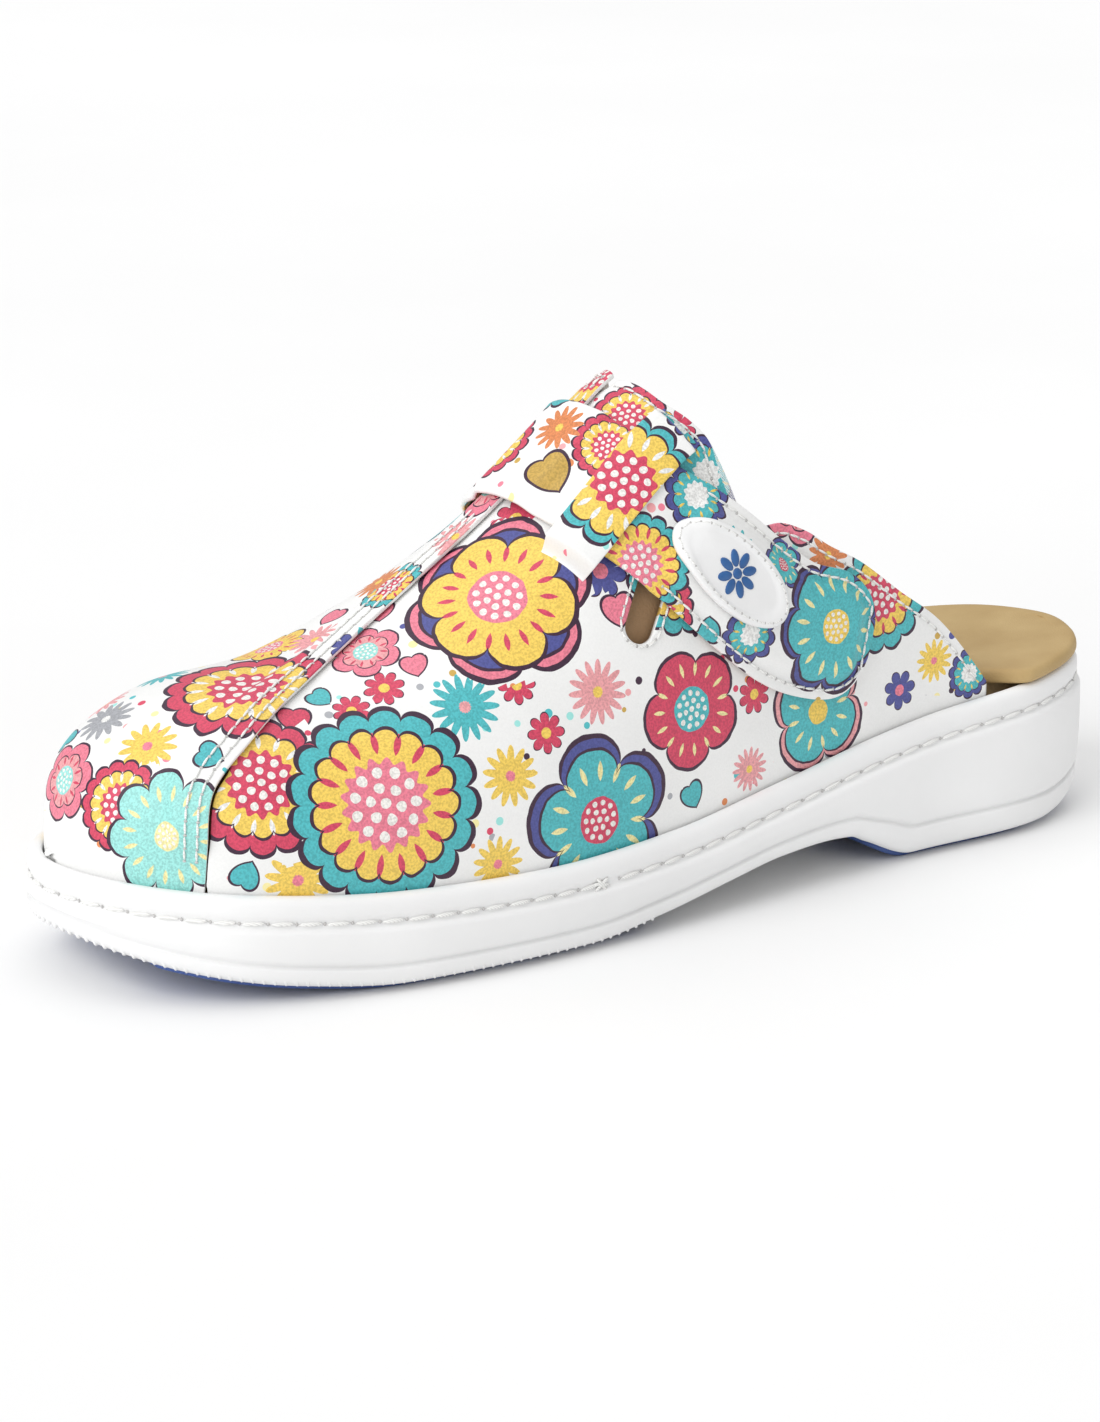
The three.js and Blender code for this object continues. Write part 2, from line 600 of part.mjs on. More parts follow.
function slotHole() {
  const half = (t) => SLOT_HALF * Math.max(rounded(1 - t / 0.16, 2), 0.25);
  const spacing = (u) => u ** 1.5;
  return ribbon({
    line: slotLine, half, low: () => -LEATHER - 1, high: () => 2, stepsT: 10, stepsV: 2, spacing,
  });
}

function lateralQuarter() {
  const sheet = toSolid(panel({
    edge: quarterEdge(UNDERLAY),
    foot: quarterFoot(23.5 * stretchX),
    low: () => -LEATHER,
    high: () => 0,
    tucked: () => false,
    steps: 46,
    farRows: 7,
  }));
  const keeper = toSolid(keeperBridge());
  return toGeometry(sheet.subtract(toSolid(keeperHole())).subtract(toSolid(slotHole())).add(keeper));
}

// The lining's two halves meet edge to edge under the seam, and stop just short of the topline.
const LINING_APART = 0.6;
const LINING_SHORT = 0.8;
const LINING_TOP = -LEATHER - LINING_ROOM;
const liningCut = { low: () => LINING_TOP - LINING, high: () => LINING_TOP, steps: 46, farRows: 7 };

const LINING_START = TOE_X + 0.6;

function medialLining() {
  return panel({
    ...liningCut,
    edge: vampEdge(LINING_APART, LINING_START, LINING_SHORT),
    foot: vampFoot(LINING_START),
    tucked: (u) => u <= TOE_SHARE,
  });
}

function lateralLining() {
  return panel({
    ...liningCut,
    edge: quarterEdge(-LINING_APART, LINING_SHORT),
    foot: quarterFoot(23.5 * stretchX),
    tucked: () => false,
  });
}

// ---- Strap ------------------------------------------------------------------------------------------------
function shareAt(line, x, from = 0) {
  let t = from;
  while (t < 1 && line.at(t).x < x) t += 0.001;
  return t;
}

const BAND_LENGTH = bandLine.length;
const CROWN_SHARE = 0.3;
const ROOT = shareAt(bandLine, TAB_ROOT_X * stretchX, CROWN_SHARE);
const alongTab = (t) => (t - ROOT) * BAND_LENGTH;
const tabShare = (distance) => ROOT + distance / BAND_LENGTH;
const BACKING_ROOM = GAP + 0.15;  // between a strap or tab and its backing
const leatherAbove = (low) => (t, offset) => low(t, offset) + BACKING + BACKING_ROOM;

// The strap rides over the lap of the seam, a little clear of it.
const STRAP_CLEAR = 0.55;
const strapLow = (t, offset) => STRAP_CLEAR + lapLift(...beside(bandLine, t, offset));

const strapStretch = { line: bandLine, from: 0, to: tabShare(-STRAP_SHORT), stepsT: 28, stepsV: 4 };

function strapLeather() {
  const low = leatherAbove(strapLow);
  const high = (t, offset) => low(t, offset) + LEATHER;
  return ribbon({ ...strapStretch, half: () => halfStrap, low, high });
}

function strapLining() {
  const high = (t, offset) => strapLow(t, offset) + BACKING;
  return ribbon({ ...strapStretch, half: () => halfStrap - 0.8, low: strapLow, high });
}

// ---- Tab, with its hook and loop fastening ------------------------------------------------------------------
const TAB_LENGTH = alongTab(1);
const TAB_END = 15;             // length of the rounded end
const FASTENER_LIFT = 2 * (BACKING + GAP);
const FASTENER_HALF = 7;
const FASTENER_FROM = 20;       // from the root of the tab
const FASTENER_TO = 56;

const halfTab = (t) => lerp(halfStrap, halfStrap + 1, smoothstep(alongTab(t), 0, 20))
  * Math.max(rounded(1 - (TAB_LENGTH - alongTab(t)) / TAB_END, 2.4), 0.05);

// The tab lies flat along its edges and rises over the hook and loop in its middle.
function tabLow(t, offset) {
  const side = smoothstep(halfTab(t) - Math.abs(offset), 3, 6);
  const root = smoothstep(alongTab(t), 3, 9);
  const tip = smoothstep(TAB_LENGTH - alongTab(t), 2, 7);
  return GAP + FASTENER_LIFT * side * root * tip;
}
const tabTop = (t, offset) => leatherAbove(tabLow)(t, offset) + LEATHER;

const tabStretch = {
  line: bandLine,
  from: tabShare(PEEL),
  to: 1,
  stepsT: 18,
  stepsV: 2 * Math.round(STRAP_WIDTH / 6.75),
  spacing: (u) => Math.sin((u * Math.PI) / 2),
};

function tabLeather() {
  return ribbon({ ...tabStretch, half: halfTab, low: leatherAbove(tabLow), high: tabTop });
}

function tabBacking() {
  const half = (t) => halfTab(t) * 0.96;
  return ribbon({ ...tabStretch, half, low: tabLow, high: (t, offset) => tabLow(t, offset) + BACKING });
}

function fastenerPatch(lift) {
  return ribbon({
    line: bandLine,
    from: tabShare(FASTENER_FROM),
    to: tabShare(FASTENER_TO),
    half: () => FASTENER_HALF,
    low: () => lift,
    high: () => lift + BACKING,
    stepsT: 8,
    stepsV: 2,
  });
}

// ---- Badge ----------------------------------------------------------------------------------------------------
const BADGE_LENGTH = 33;
const BADGE_WIDTH = 16;
const BADGE_THICKNESS = 1.2;
const BADGE_RIM = 0.5;
const BADGE_MIDDLE = 19;        // from the root of the tab
const badgeBase = GAP + tabTop(tabShare(BADGE_MIDDLE), 0);

function badge() {
  const reach = BADGE_LENGTH / 2;
  const along = (t) => Math.abs(alongTab(t) - BADGE_MIDDLE) / reach;
  const half = (t) => (BADGE_WIDTH / 2) * Math.max(rounded(along(t), 2), 0.04);
  const high = (t, offset) => {
    const out = Math.hypot(along(t), (2 * offset) / BADGE_WIDTH);
    return badgeBase + BADGE_THICKNESS + BADGE_RIM * smoothstep(out, 0.72, 0.86);
  };
  return ribbon({
    line: bandLine,
    from: tabShare(BADGE_MIDDLE - reach),
    to: tabShare(BADGE_MIDDLE + reach),
    half,
    low: () => badgeBase,
    high,
    stepsT: 14,
    stepsV: 6,
    spacing: endsFine,
  });
}

const BADGE_FACE = badgeBase + BADGE_THICKNESS + GAP;
const PETALS = 8;
const FLOWER_RADIUS = 5.2;

// A plain daisy outline stands on the badge.
function badgeFlower() {
  const outline = Array.from({ length: PETALS * 6 }, (_, i) => {
    const angle = (i / (PETALS * 6)) * 2 * Math.PI;
    const radius = FLOWER_RADIUS * (0.72 + 0.28 * Math.abs(Math.cos((angle * PETALS) / 2)));
    return new THREE.Vector2(radius * Math.cos(angle), radius * Math.sin(angle));
  });
  const flower = new THREE.ExtrudeGeometry(new THREE.Shape(outline), { depth: 0.4, bevelEnabled: false });
  const position = flower.attributes.position;
  for (let i = 0; i < position.count; i += 1) {
    const [x, degrees] = beside(bandLine, tabShare(BADGE_MIDDLE + position.getX(i)), position.getY(i));
    const p = skin(x, degrees, BADGE_FACE + position.getZ(i));
    position.setXYZ(i, p.x, p.y, p.z);
  }
  return closed(flower);
}

// ---- Threads --------------------------------------------------------------------------------------------------
const SEAM_ROWS = [2, 4.4];     // two rows beside the seam, on the lap
const EDGE_ROW = 2.2;           // one row beside a topline, the tab and the slot

const seamThread = (row) => threadBeside(
  seamLine, 0.05, shareAt(seamLine, 104 * stretchX), row, LAP_LIFT + GAP, 32);

// The outer row starts where the upper edge of the tab leaves it: the wider the strap, the later.
const OUTER_ROW_FROM = 120 * stretchX + 4 * halfStrap;
const toplineThread = (line, fromX, side) => threadBeside(
  line, shareAt(line, fromX), shareAt(line, 217 * stretchX), side * EDGE_ROW, GAP, 18);

// The stitches beside the slot stop short of the tab: the wider the strap, the shorter they are.
const SLOT_ARM = 17.7 - halfStrap;

function slotThread() {
  const reach = SLOT_HALF + 1.2;
  return thread((u, across, up) => {
    const turn = clamp((u - 0.3) / 0.4, 0, 1) * Math.PI;
    const straight = Math.max(0.3 - u, u - 0.7, 0) / 0.3 * SLOT_ARM;
    const out = reach + across;
    const t = (straight + reach * 0.9 - out * Math.sin(turn)) / slotLine.length;
    const [x, degrees] = besideBeyond(slotLine, t, out * Math.cos(turn));
    return skin(x, degrees, GAP + THREAD / 2 + up);
  }, 22);
}

// Like beside, and carries a line straight on before its start.
function besideBeyond(line, t, distance) {
  const [x, degrees] = beside(line, t, distance);
  if (t >= 0) return [x, degrees];
  const start = line.at(0);
  const next = line.at(0.05);
  const share = t / 0.05;
  return [x + (next.x - start.x) * share, degrees + (next.y - start.y) * share];
}

// The row of stitches that follows the edge of the tab, from one side of its root round to the other.
function tabThread() {
  const first = PEEL + 6;
  const last = TAB_LENGTH - EDGE_ROW;
  return thread((u, across, up) => {
    const from = 1 - Math.abs(2 * u - 1);
    const distance = lerp(first, last, Math.sin((from * Math.PI) / 2));
    const half = Math.max(halfTab(tabShare(distance)) - EDGE_ROW, 0.4) * (from > 0.999 ? 0 : 1);
    const reach = (u < 0.5 ? 1 : -1) * (half + across);
    const t = tabShare(distance + (from > 0.999 ? across : 0));
    const [x, degrees] = beside(bandLine, t, from > 0.999 ? 0 : reach);
    return skin(x, degrees, tabTop(t, halfTab(t)) + GAP + THREAD / 2 + up);
  }, 44);
}

function badgeThread() {
  const reach = BADGE_LENGTH / 2 + 1.2;
  const wide = BADGE_WIDTH / 2 + 1.2;
  return thread((u, across, up) => {
    const angle = lerp(0.01, 0.99, u) * 2 * Math.PI;
    const t = tabShare(BADGE_MIDDLE + (reach + across) * Math.cos(angle));
    const [x, degrees] = beside(bandLine, t, (wide + across) * Math.sin(angle));
    return skin(x, degrees, badgeBase + THREAD / 2 + up);
  }, 32);
}

// A box of stitches holds the strap's fixed end on the inner side.
const ANCHOR_LENGTH = 18;
function anchorThread() {
  const half = halfStrap - EDGE_ROW;
  const legs = ANCHOR_LENGTH - EDGE_ROW;
  const round = 2 * legs + 2 * half;
  return thread((u, across, up) => {
    const walked = u * round;
    const onLeg = Math.min(walked, round - walked);
    const distance = ANCHOR_LENGTH - Math.min(onLeg, legs) - across * Math.min(onLeg / legs, 1);
    const offset = clamp(walked - legs - half, -half, half) * (1 + across / half);
    const t = distance / BAND_LENGTH;
    const [x, degrees] = beside(bandLine, t, offset);
    return skin(x, degrees, strapLow(t, offset) + STRAP_THICKNESS + GAP + THREAD / 2 + up);
  }, 24);
}

// ---- Assembly -----------------------------------------------------------------------------------------------------
const finish = (color, roughness) => new THREE.MeshStandardMaterial({ color, roughness, metalness: 0 });
const part = new THREE.Group();

function add(name, geometry, color, roughness) {
  const mesh = new THREE.Mesh(geometry, finish(color, roughness));
  mesh.name = name;
  part.add(mesh);
}

const WHITE_PU = 0xf1f1ef;
const WHITE_LEATHER = 0xf2f2ee;
const BROWN_LEATHER = 0x9c7a5c;
const TAN = 0xbfa678;
const BLUE = 0x4a5f9e;
const THREAD_WHITE = 0xf6f5f0;

add('sole_unit', soleUnit(), WHITE_PU, 0.55);
add('forefoot_tread', treadSlab(FOREFOOT_TREAD, 0), BLUE, 0.8);
add('heel_tread', treadSlab(HEEL_TREAD, 0), BLUE, 0.8);
add('sidewall_thread', sidewallThread(), THREAD_WHITE, 0.8);
add('insole_board', insoleBoard(), 0xc9b28a, 0.9);
add('footbed_core', footbedCore(), 0xb79767, 0.9);
add('footbed_cover', footbedCover(), TAN, 0.75);
add('medial_vamp', medialVamp(), WHITE_LEATHER, 0.5);
add('lateral_quarter', lateralQuarter(), WHITE_LEATHER, 0.5);
add('medial_lining', medialLining(), BROWN_LEATHER, 0.85);
add('lateral_lining', lateralLining(), BROWN_LEATHER, 0.85);
SEAM_ROWS.forEach((row, i) => add(`seam_thread_${i + 1}`, seamThread(row), THREAD_WHITE, 0.8));
add('outer_topline_thread', toplineThread(outerTopline, OUTER_ROW_FROM, -1), THREAD_WHITE, 0.8);
add('inner_topline_thread', toplineThread(innerTopline, 150 * stretchX, 1), THREAD_WHITE, 0.8);
add('slot_thread', slotThread(), THREAD_WHITE, 0.8);
add('strap', strapLeather(), WHITE_LEATHER, 0.5);
add('strap_lining', strapLining(), BROWN_LEATHER, 0.85);
add('strap_anchor_thread', anchorThread(), THREAD_WHITE, 0.8);
add('strap_tab', tabLeather(), WHITE_LEATHER, 0.5);
add('tab_backing', tabBacking(), BROWN_LEATHER, 0.85);
add('loop_patch', fastenerPatch(GAP), 0xe8e6e0, 0.95);
add('hook_patch', fastenerPatch(2 * GAP + BACKING), 0xe8e6e0, 0.95);
add('tab_thread', tabThread(), THREAD_WHITE, 0.8);
add('badge', badge(), 0xeeeeee, 0.45);
add('badge_flower', badgeFlower(), 0x2f5a9a, 0.5);
add('badge_thread', badgeThread(), THREAD_WHITE, 0.8);

// The origin is on the floor, under the middle of the shoe.
const box = new THREE.Box3().setFromObject(part, true);
const middle = box.getCenter(new THREE.Vector3());
part.position.set(-middle.x, -middle.y, -box.min.z);

export default part;
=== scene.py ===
# %% [markdown]
# # A printed comfort clog with an instep strap
# The shoe is a mule for the left foot: a white moulded cup sole, a loose footbed, a two-panel printed
# leather upper, and a strap that runs under a keeper and ends in a peel-off tab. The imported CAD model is
# the fixed frame. This lesson builds the fine surfaces on the same curves that the frame was drawn on.

import json
import math
import random

import bmesh
import bpy
import numpy as np
from mathutils import Matrix, Vector

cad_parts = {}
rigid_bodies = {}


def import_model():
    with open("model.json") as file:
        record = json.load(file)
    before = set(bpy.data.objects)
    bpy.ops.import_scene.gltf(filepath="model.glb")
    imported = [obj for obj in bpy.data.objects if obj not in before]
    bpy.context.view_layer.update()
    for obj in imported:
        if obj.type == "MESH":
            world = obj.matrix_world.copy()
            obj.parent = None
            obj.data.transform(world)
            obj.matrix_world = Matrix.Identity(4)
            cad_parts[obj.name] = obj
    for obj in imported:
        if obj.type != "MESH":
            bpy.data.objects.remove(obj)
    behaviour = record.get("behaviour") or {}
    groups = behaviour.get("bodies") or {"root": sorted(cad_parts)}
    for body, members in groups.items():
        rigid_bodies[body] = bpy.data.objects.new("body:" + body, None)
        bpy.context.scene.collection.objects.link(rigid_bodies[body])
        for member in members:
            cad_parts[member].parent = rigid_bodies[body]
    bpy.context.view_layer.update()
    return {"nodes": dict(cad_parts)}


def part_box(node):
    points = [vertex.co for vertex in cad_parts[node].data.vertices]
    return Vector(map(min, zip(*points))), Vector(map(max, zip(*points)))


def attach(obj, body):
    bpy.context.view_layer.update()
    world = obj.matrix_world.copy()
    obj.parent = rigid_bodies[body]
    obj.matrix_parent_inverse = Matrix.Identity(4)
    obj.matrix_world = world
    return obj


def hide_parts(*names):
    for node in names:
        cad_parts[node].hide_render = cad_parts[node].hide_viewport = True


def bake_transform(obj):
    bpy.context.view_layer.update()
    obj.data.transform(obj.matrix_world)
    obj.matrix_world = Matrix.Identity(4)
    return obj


for start_object in list(bpy.data.objects):
    bpy.data.objects.remove(start_object)
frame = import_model()

# %% [markdown]
# ## The last
# A shoe is made over a last, and every panel of the upper is a piece of the last's skin. So the last comes
# first, as a few curves: the outline of the sole, the height of its rim and underside, and the crown of the
# upper. All sizes are in millimetres, drawn with the toe at 0, and the frame says where that lies.

# %% Curves of the last
OUTLINE = [
    [0, 4], [5, 20.5], [22, 34.5], [52, 41.5], [82, 42], [118, 35.5], [160, 29.5], [200, 29], [232, 29],
    [252, 19], [260.5, 6], [262, -4], [255, -20], [236, -31], [200, -33.5], [160, -38], [120, -43.5],
    [88, -45.5], [55, -43], [25, -33], [7, -15.5],
]
RIM = [
    [0, 26], [30, 23.8], [60, 21.5], [100, 20.3], [130, 21.8], [160, 26], [190, 31], [220, 34.5], [262, 37.5],
]
UNDERSIDE = [
    [0, 12], [8, 9], [20, 5.5], [40, 2], [62, 0], [106, 0], [125, 2.2], [145, 5.4], [160, 7.6],
    [172, 8.2], [181, 7.6], [186, 5.4], [200, 0], [238, 0], [252, 2], [262, 7],
]
CROWN = [
    [0, 0], [3.5, 16.5], [8.5, 23.7], [17, 29.6], [31, 35.5], [51, 39], [75, 49.1], [97, 62.8],
    [118, 79], [132, 89], [150, 94], [180, 99], [235, 102],
]


def lerp(a, b, t):
    return a + (b - a) * t


def smooth(t, low, high):
    """0 below low, 1 above high, and a smooth rise between."""
    s = np.clip((np.asarray(t, float) - low) / (high - low), 0, 1)
    return s * s * (3 - 2 * s)


def unit(v):
    return v / np.maximum(np.linalg.norm(v, axis=-1, keepdims=True), 1e-9)


def walked_along(points):
    """How far each point of a line lies from its start."""
    steps = np.linalg.norm(np.diff(points, axis=0), axis=1)
    return np.concatenate([[0], np.cumsum(steps)])


def profile(knots):
    """A height curve through knots that never overshoots them."""
    x, z = np.array(knots, float).T
    rise = np.diff(z) / np.diff(x)
    before, after = rise[:-1], rise[1:]
    same_way = before * after > 0
    middle = np.where(same_way, 2 * before * after / np.where(same_way, before + after, 1), 0)
    slope = np.concatenate([rise[:1], middle, rise[-1:]])

    def at(v):
        v = np.clip(v, x[0], x[-1])
        i = np.clip(np.searchsorted(x, v, side="right") - 1, 0, len(x) - 2)
        h = x[i + 1] - x[i]
        t = (v - x[i]) / h
        straight = (1 + 2 * t) * (1 - t) ** 2 * z[i] + (3 - 2 * t) * t ** 2 * z[i + 1]
        return straight + h * t * (1 - t) * ((1 - t) * slope[i] - t * slope[i + 1])

    return at


def smooth_line(corners, steps, closed=False):
    """A centripetal Catmull-Rom curve through its corners, with so many steps between two of them."""
    p = np.array(corners, float)
    ends = (p[-1:], p[:2]) if closed else (2 * p[:1] - p[1:2], 2 * p[-1:] - p[-2:-1])
    p = np.vstack([ends[0], p, ends[1]])
    apart = np.linalg.norm(np.diff(p, axis=0), axis=1) ** 0.5
    spans = len(p) - 3
    t = np.arange(spans * steps + (not closed)) / steps
    i = np.minimum(t.astype(int), spans - 1)
    f = (t - i)[:, None]
    a, b, c, d = (p[i + k] for k in range(4))
    ab, bc, cd = (apart[i + k][:, None] for k in range(3))
    out = ((b - a) / ab - (c - a) / (ab + bc) + (c - b) / bc) * bc
    back = ((c - b) / bc - (d - b) / (bc + cd) + (d - c) / cd) * bc
    along = (2 * f ** 3 - 3 * f ** 2 + 1) * b + (f ** 3 - 2 * f ** 2 + f) * out
    return along + (3 * f ** 2 - 2 * f ** 3) * c + (f ** 3 - f ** 2) * back


rim_height = profile(RIM)
under_height = profile(UNDERSIDE)
crown_height = profile(CROWN)
outline = smooth_line(OUTLINE, 24, closed=True)

sole_low, sole_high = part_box("sole_unit")
drawn_middle = (outline.min(0) + outline.max(0)) / 2
SHIFT = np.array([
    (sole_low.x + sole_high.x) * 500 - drawn_middle[0],
    (sole_low.y + sole_high.y) * 500 - drawn_middle[1],
    0.0,
])


def to_frame(points):
    """Drawn millimetres to the frame's metres."""
    return (np.asarray(points, float) + SHIFT) / 1000


print("drawn toe lies at", to_frame([0, 0, 0]).round(4))

# %% The outline drawn in, and the skin of the last
UPPER_INSET = 4.5  # from the widest line of the sole to the outer face of the upper leather


def drawn_in(inset):
    """The outline drawn in by a distance: its inner and outer side, each from toe to heel."""
    tangent = unit(np.roll(outline, -1, 0) - np.roll(outline, 1, 0))
    loop = outline + inset * np.column_stack([tangent[:, 1], -tangent[:, 0]])
    loop = np.roll(loop, -int(loop[:, 0].argmin()), 0)
    loop = np.vstack([loop, loop[:1]])
    heel = int(loop[:, 0].argmax())
    return loop[: heel + 1], loop[heel:][::-1]


def edges_at(x, inset):
    inner, outer = drawn_in(inset)
    return np.interp(x, outer[:, 0], outer[:, 1]), np.interp(x, inner[:, 0], inner[:, 1])


TOE_X = drawn_in(UPPER_INSET)[0][0, 0]
FOREPART = 130                 # the section changes over this length, from the toe
TOE_POWER, BACK_POWER = 2.43, 2.1   # 2 is an ellipse, and more is boxier
TOE_LEAN, BACK_LEAN = 2.9, 0.9      # how far the crown leans to the inner side


def last(x, degrees):
    """A point of the last: degrees go round from the outer rim (0) over the crown to the inner rim (180)."""
    x, degrees = np.broadcast_arrays(np.asarray(x, float), np.asarray(degrees, float))
    angle = np.radians(np.clip(degrees, 0, 180))
    back = np.clip((x - TOE_X) / FOREPART, 0, 1)
    power = 2 / lerp(TOE_POWER, BACK_POWER, back)
    outer, inner = edges_at(x, UPPER_INSET)
    c, s = np.cos(angle), np.maximum(np.sin(angle), 0)
    y = (outer + inner) / 2 - (inner - outer) / 2 * np.sign(c) * np.abs(c) ** power
    y = y + lerp(TOE_LEAN, BACK_LEAN, back) * s * s
    z = rim_height(x) + crown_height(x - TOE_X) * s ** power
    return np.stack([x, y, z], -1)


def slopes(x, degrees):
    dx = np.minimum(0.4, np.maximum((x - TOE_X) * 0.5, 0.004))
    low = np.clip(degrees - 1, 0, 178)
    along = (last(x + dx, degrees) - last(x - dx, degrees)) / (2 * dx)[..., None]
    return along, (last(x, low + 2) - last(x, low)) / 2


def skin(x, degrees, lift):
    """A point of the last's skin, lifted outwards by a distance."""
    x, degrees, lift = np.broadcast_arrays(*(np.asarray(v, float) for v in (x, degrees, lift)))
    outward = unit(np.cross(*slopes(x, degrees)))
    at_rim = (degrees <= 0) | (degrees >= 180)
    outward = np.where(at_rim[..., None], unit(outward * [1, 1, 0]), outward)
    return last(x, degrees) + outward * lift[..., None]


class SkinLine:
    """A line drawn on the skin. Places on it are given by the share of its length."""

    def __init__(self, corners):
        self.path = smooth_line(corners, 30)
        self.walked = walked_along(last(*self.path.T))
        self.length = self.walked[-1]
        self.course = np.gradient(self.path, axis=0)

    def follow(self, t, values):
        walked = np.clip(t, 0, 1) * self.length
        return [np.interp(walked, self.walked, v) for v in values.T]

    def beside(self, t, distance):
        """The place that lies a distance to the left of the line, seen from outside."""
        t, distance = np.broadcast_arrays(np.asarray(t, float), np.asarray(distance, float))
        x, degrees = self.follow(t, self.path)
        head_x, head_degrees = self.follow(t, self.course)
        along, around = slopes(x, degrees)
        outward = np.cross(along, around)
        forward = along * head_x[..., None] + around * head_degrees[..., None]
        side = unit(np.cross(outward, forward)) * distance[..., None]
        xx, rr, xr = ((a * b).sum(-1) for a, b in ((along, along), (around, around), (along, around)))
        side_x, side_r = (side * along).sum(-1), (side * around).sum(-1)
        det = xx * rr - xr * xr
        return x + (side_x * rr - side_r * xr) / det, degrees + (side_r * xx - side_x * xr) / det


SEAM = [[23, 1.4], [23.9, 13], [27.3, 35], [36.8, 50.4], [49.7, 66.8], [62.7, 77.6], [83, 86.1],
        [101, 89], [122, 89], [138, 91]]
TOPLINE = [[138, 91], [141.8, 71.4], [146.4, 61.7], [149.4, 55], [150.3, 47], [153, 40], [158, 35.8],
           [164.5, 34.2], [171, 31], [177, 27.2], [185.3, 23], [196.4, 16.7], [207.7, 10.9], [221, 1.5]]
BAND = [[143, 155], [134, 143], [126.5, 130], [121.5, 117], [119.5, 104], [119.2, 90], [120.3, 78],
        [123.2, 66], [128, 54.5], [134, 45.5], [142, 36.5], [152.5, 27], [163, 20], [175, 15.6], [186, 12.4]]
seam = SkinLine(SEAM)
outer_topline = SkinLine(TOPLINE)
inner_topline = SkinLine([TOPLINE[0]] + [[x, 180 - degrees] for x, degrees in TOPLINE[1:]])
band = SkinLine(BAND)
keeper_line = SkinLine([[111, 56.7], [127, 59.5], [137, 61], [144.5, 62]])
slot_line = SkinLine([[122.6, 30.6], [128, 36.5], [133, 42]])
print("seam", round(seam.length), "mm, strap and tab", round(band.length), "mm")

# %% [markdown]
# ## From a grid to a skin
# Leather, rubber and foam here are all thin or thick sheets that bend along the last. A fine flat grid is
# the easiest start: each of its points is moved to its place on the last, the points that meet are merged,
# and the small openings at its ends are filled. Subdivision would round the cut edges too much.

# %% A grid laid through places
def finish_mesh(name, bm, smooth_faces=True):
    mesh = bpy.data.meshes.new(name)
    bm.to_mesh(mesh)
    bm.free()
    piece = bpy.data.objects.new(name, mesh)
    bpy.context.scene.collection.objects.link(piece)
    mesh.polygons.foreach_set("use_smooth", [smooth_faces] * len(mesh.polygons))
    return piece


def laid_grid(name, places):
    """A closed piece whose grid runs through places, an array of rows by columns by 3, in millimetres."""
    rows, columns = places.shape[0] - 1, places.shape[1] - 1
    bm = bmesh.new()
    bmesh.ops.create_grid(bm, x_segments=rows, y_segments=columns, size=1)
    flat = to_frame(places)
    for v in bm.verts:
        row = round((v.co.x + 1) / 2 * rows)
        column = round((v.co.y + 1) / 2 * columns)
        v.co = flat[row, column]
    bmesh.ops.remove_doubles(bm, verts=bm.verts, dist=5e-6)
    open_edges = [e for e in bm.edges if e.is_boundary]
    if open_edges:
        bmesh.ops.holes_fill(bm, edges=open_edges, sides=0)
    bmesh.ops.recalc_face_normals(bm, faces=bm.faces)
    print(name, len(bm.faces), "faces,", sum(e.is_boundary for e in bm.edges), "open edges")
    return finish_mesh(name, bm)


def round_corners(thickness, corner, face_steps, corner_steps=3):
    """Once round the section of a strip: side (-1 to 1), how far past the flat face, and share of height."""
    turn = np.radians(np.linspace(90, -90, 2 * corner_steps + 1))
    bulge = corner * np.cos(turn)
    rounded = corner / thickness
    height = np.where(turn > 0, 1 - rounded * (1 - np.sin(turn)), rounded * (1 + np.sin(turn)))
    across = np.linspace(-1, 1, face_steps + 1)
    side = np.concatenate([across, np.ones(len(turn)), across[::-1], -np.ones(len(turn))])
    past = np.concatenate([0 * across, bulge, 0 * across, -bulge])
    share = np.concatenate([0 * across + 1, height, 0 * across, height[::-1]])
    close = lambda v: np.append(v, v[0])
    return close(side), close(past), close(share)


def strip(name, line, t, half, low, thickness, corner, face_steps=14, round_ends=(0.0, 0.0)):
    """A strip of leather along a line on the skin. half(t) is its half width and low(t, offset) its lift."""
    side, past, share = round_corners(thickness, corner, face_steps)
    offset = side * np.maximum(half(t) - corner, 0.02)[:, None] + past
    walked = (t - t[0])[:, None] * line.length
    left = (t[-1] - t)[:, None] * line.length
    full = 1.0
    for from_end, radius in ((walked, round_ends[0]), (left, round_ends[1])):
        if radius:
            full = full * np.sqrt(1 - (1 - np.clip(from_end / radius, 0, 1)) ** 2)
    height = 0.5 + (share - 0.5) * np.maximum(full, 0.05)
    x, degrees = line.beside(t[:, None], offset)
    return laid_grid(name, skin(x, degrees, low(t[:, None], offset) + thickness * height))


def put_on(piece, body, *nodes):
    """The piece rides on a body and stands for CAD nodes."""
    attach(piece, body)
    if nodes:
        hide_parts(*nodes)
    return piece


# %% [markdown]
# ## The sole
# One moulding of white foam rubber: a lower band, a groove, a plain wall, a stitched gutter and a rolled
# rim, round a cup. A moulded wall is a stack of outlines drawn in by different amounts, so its section is
# a list of levels, and the grid goes once round the section from the middle of the underside.

# %% The moulded cup sole
TREAD_SHOWING = 1.3
CUP_DEPTH = 7.0
SOLE_STATIONS = 420


def band_height(x):
    return np.clip(0.27 * (rim_height(x) - under_height(x)), 3.6, 8)


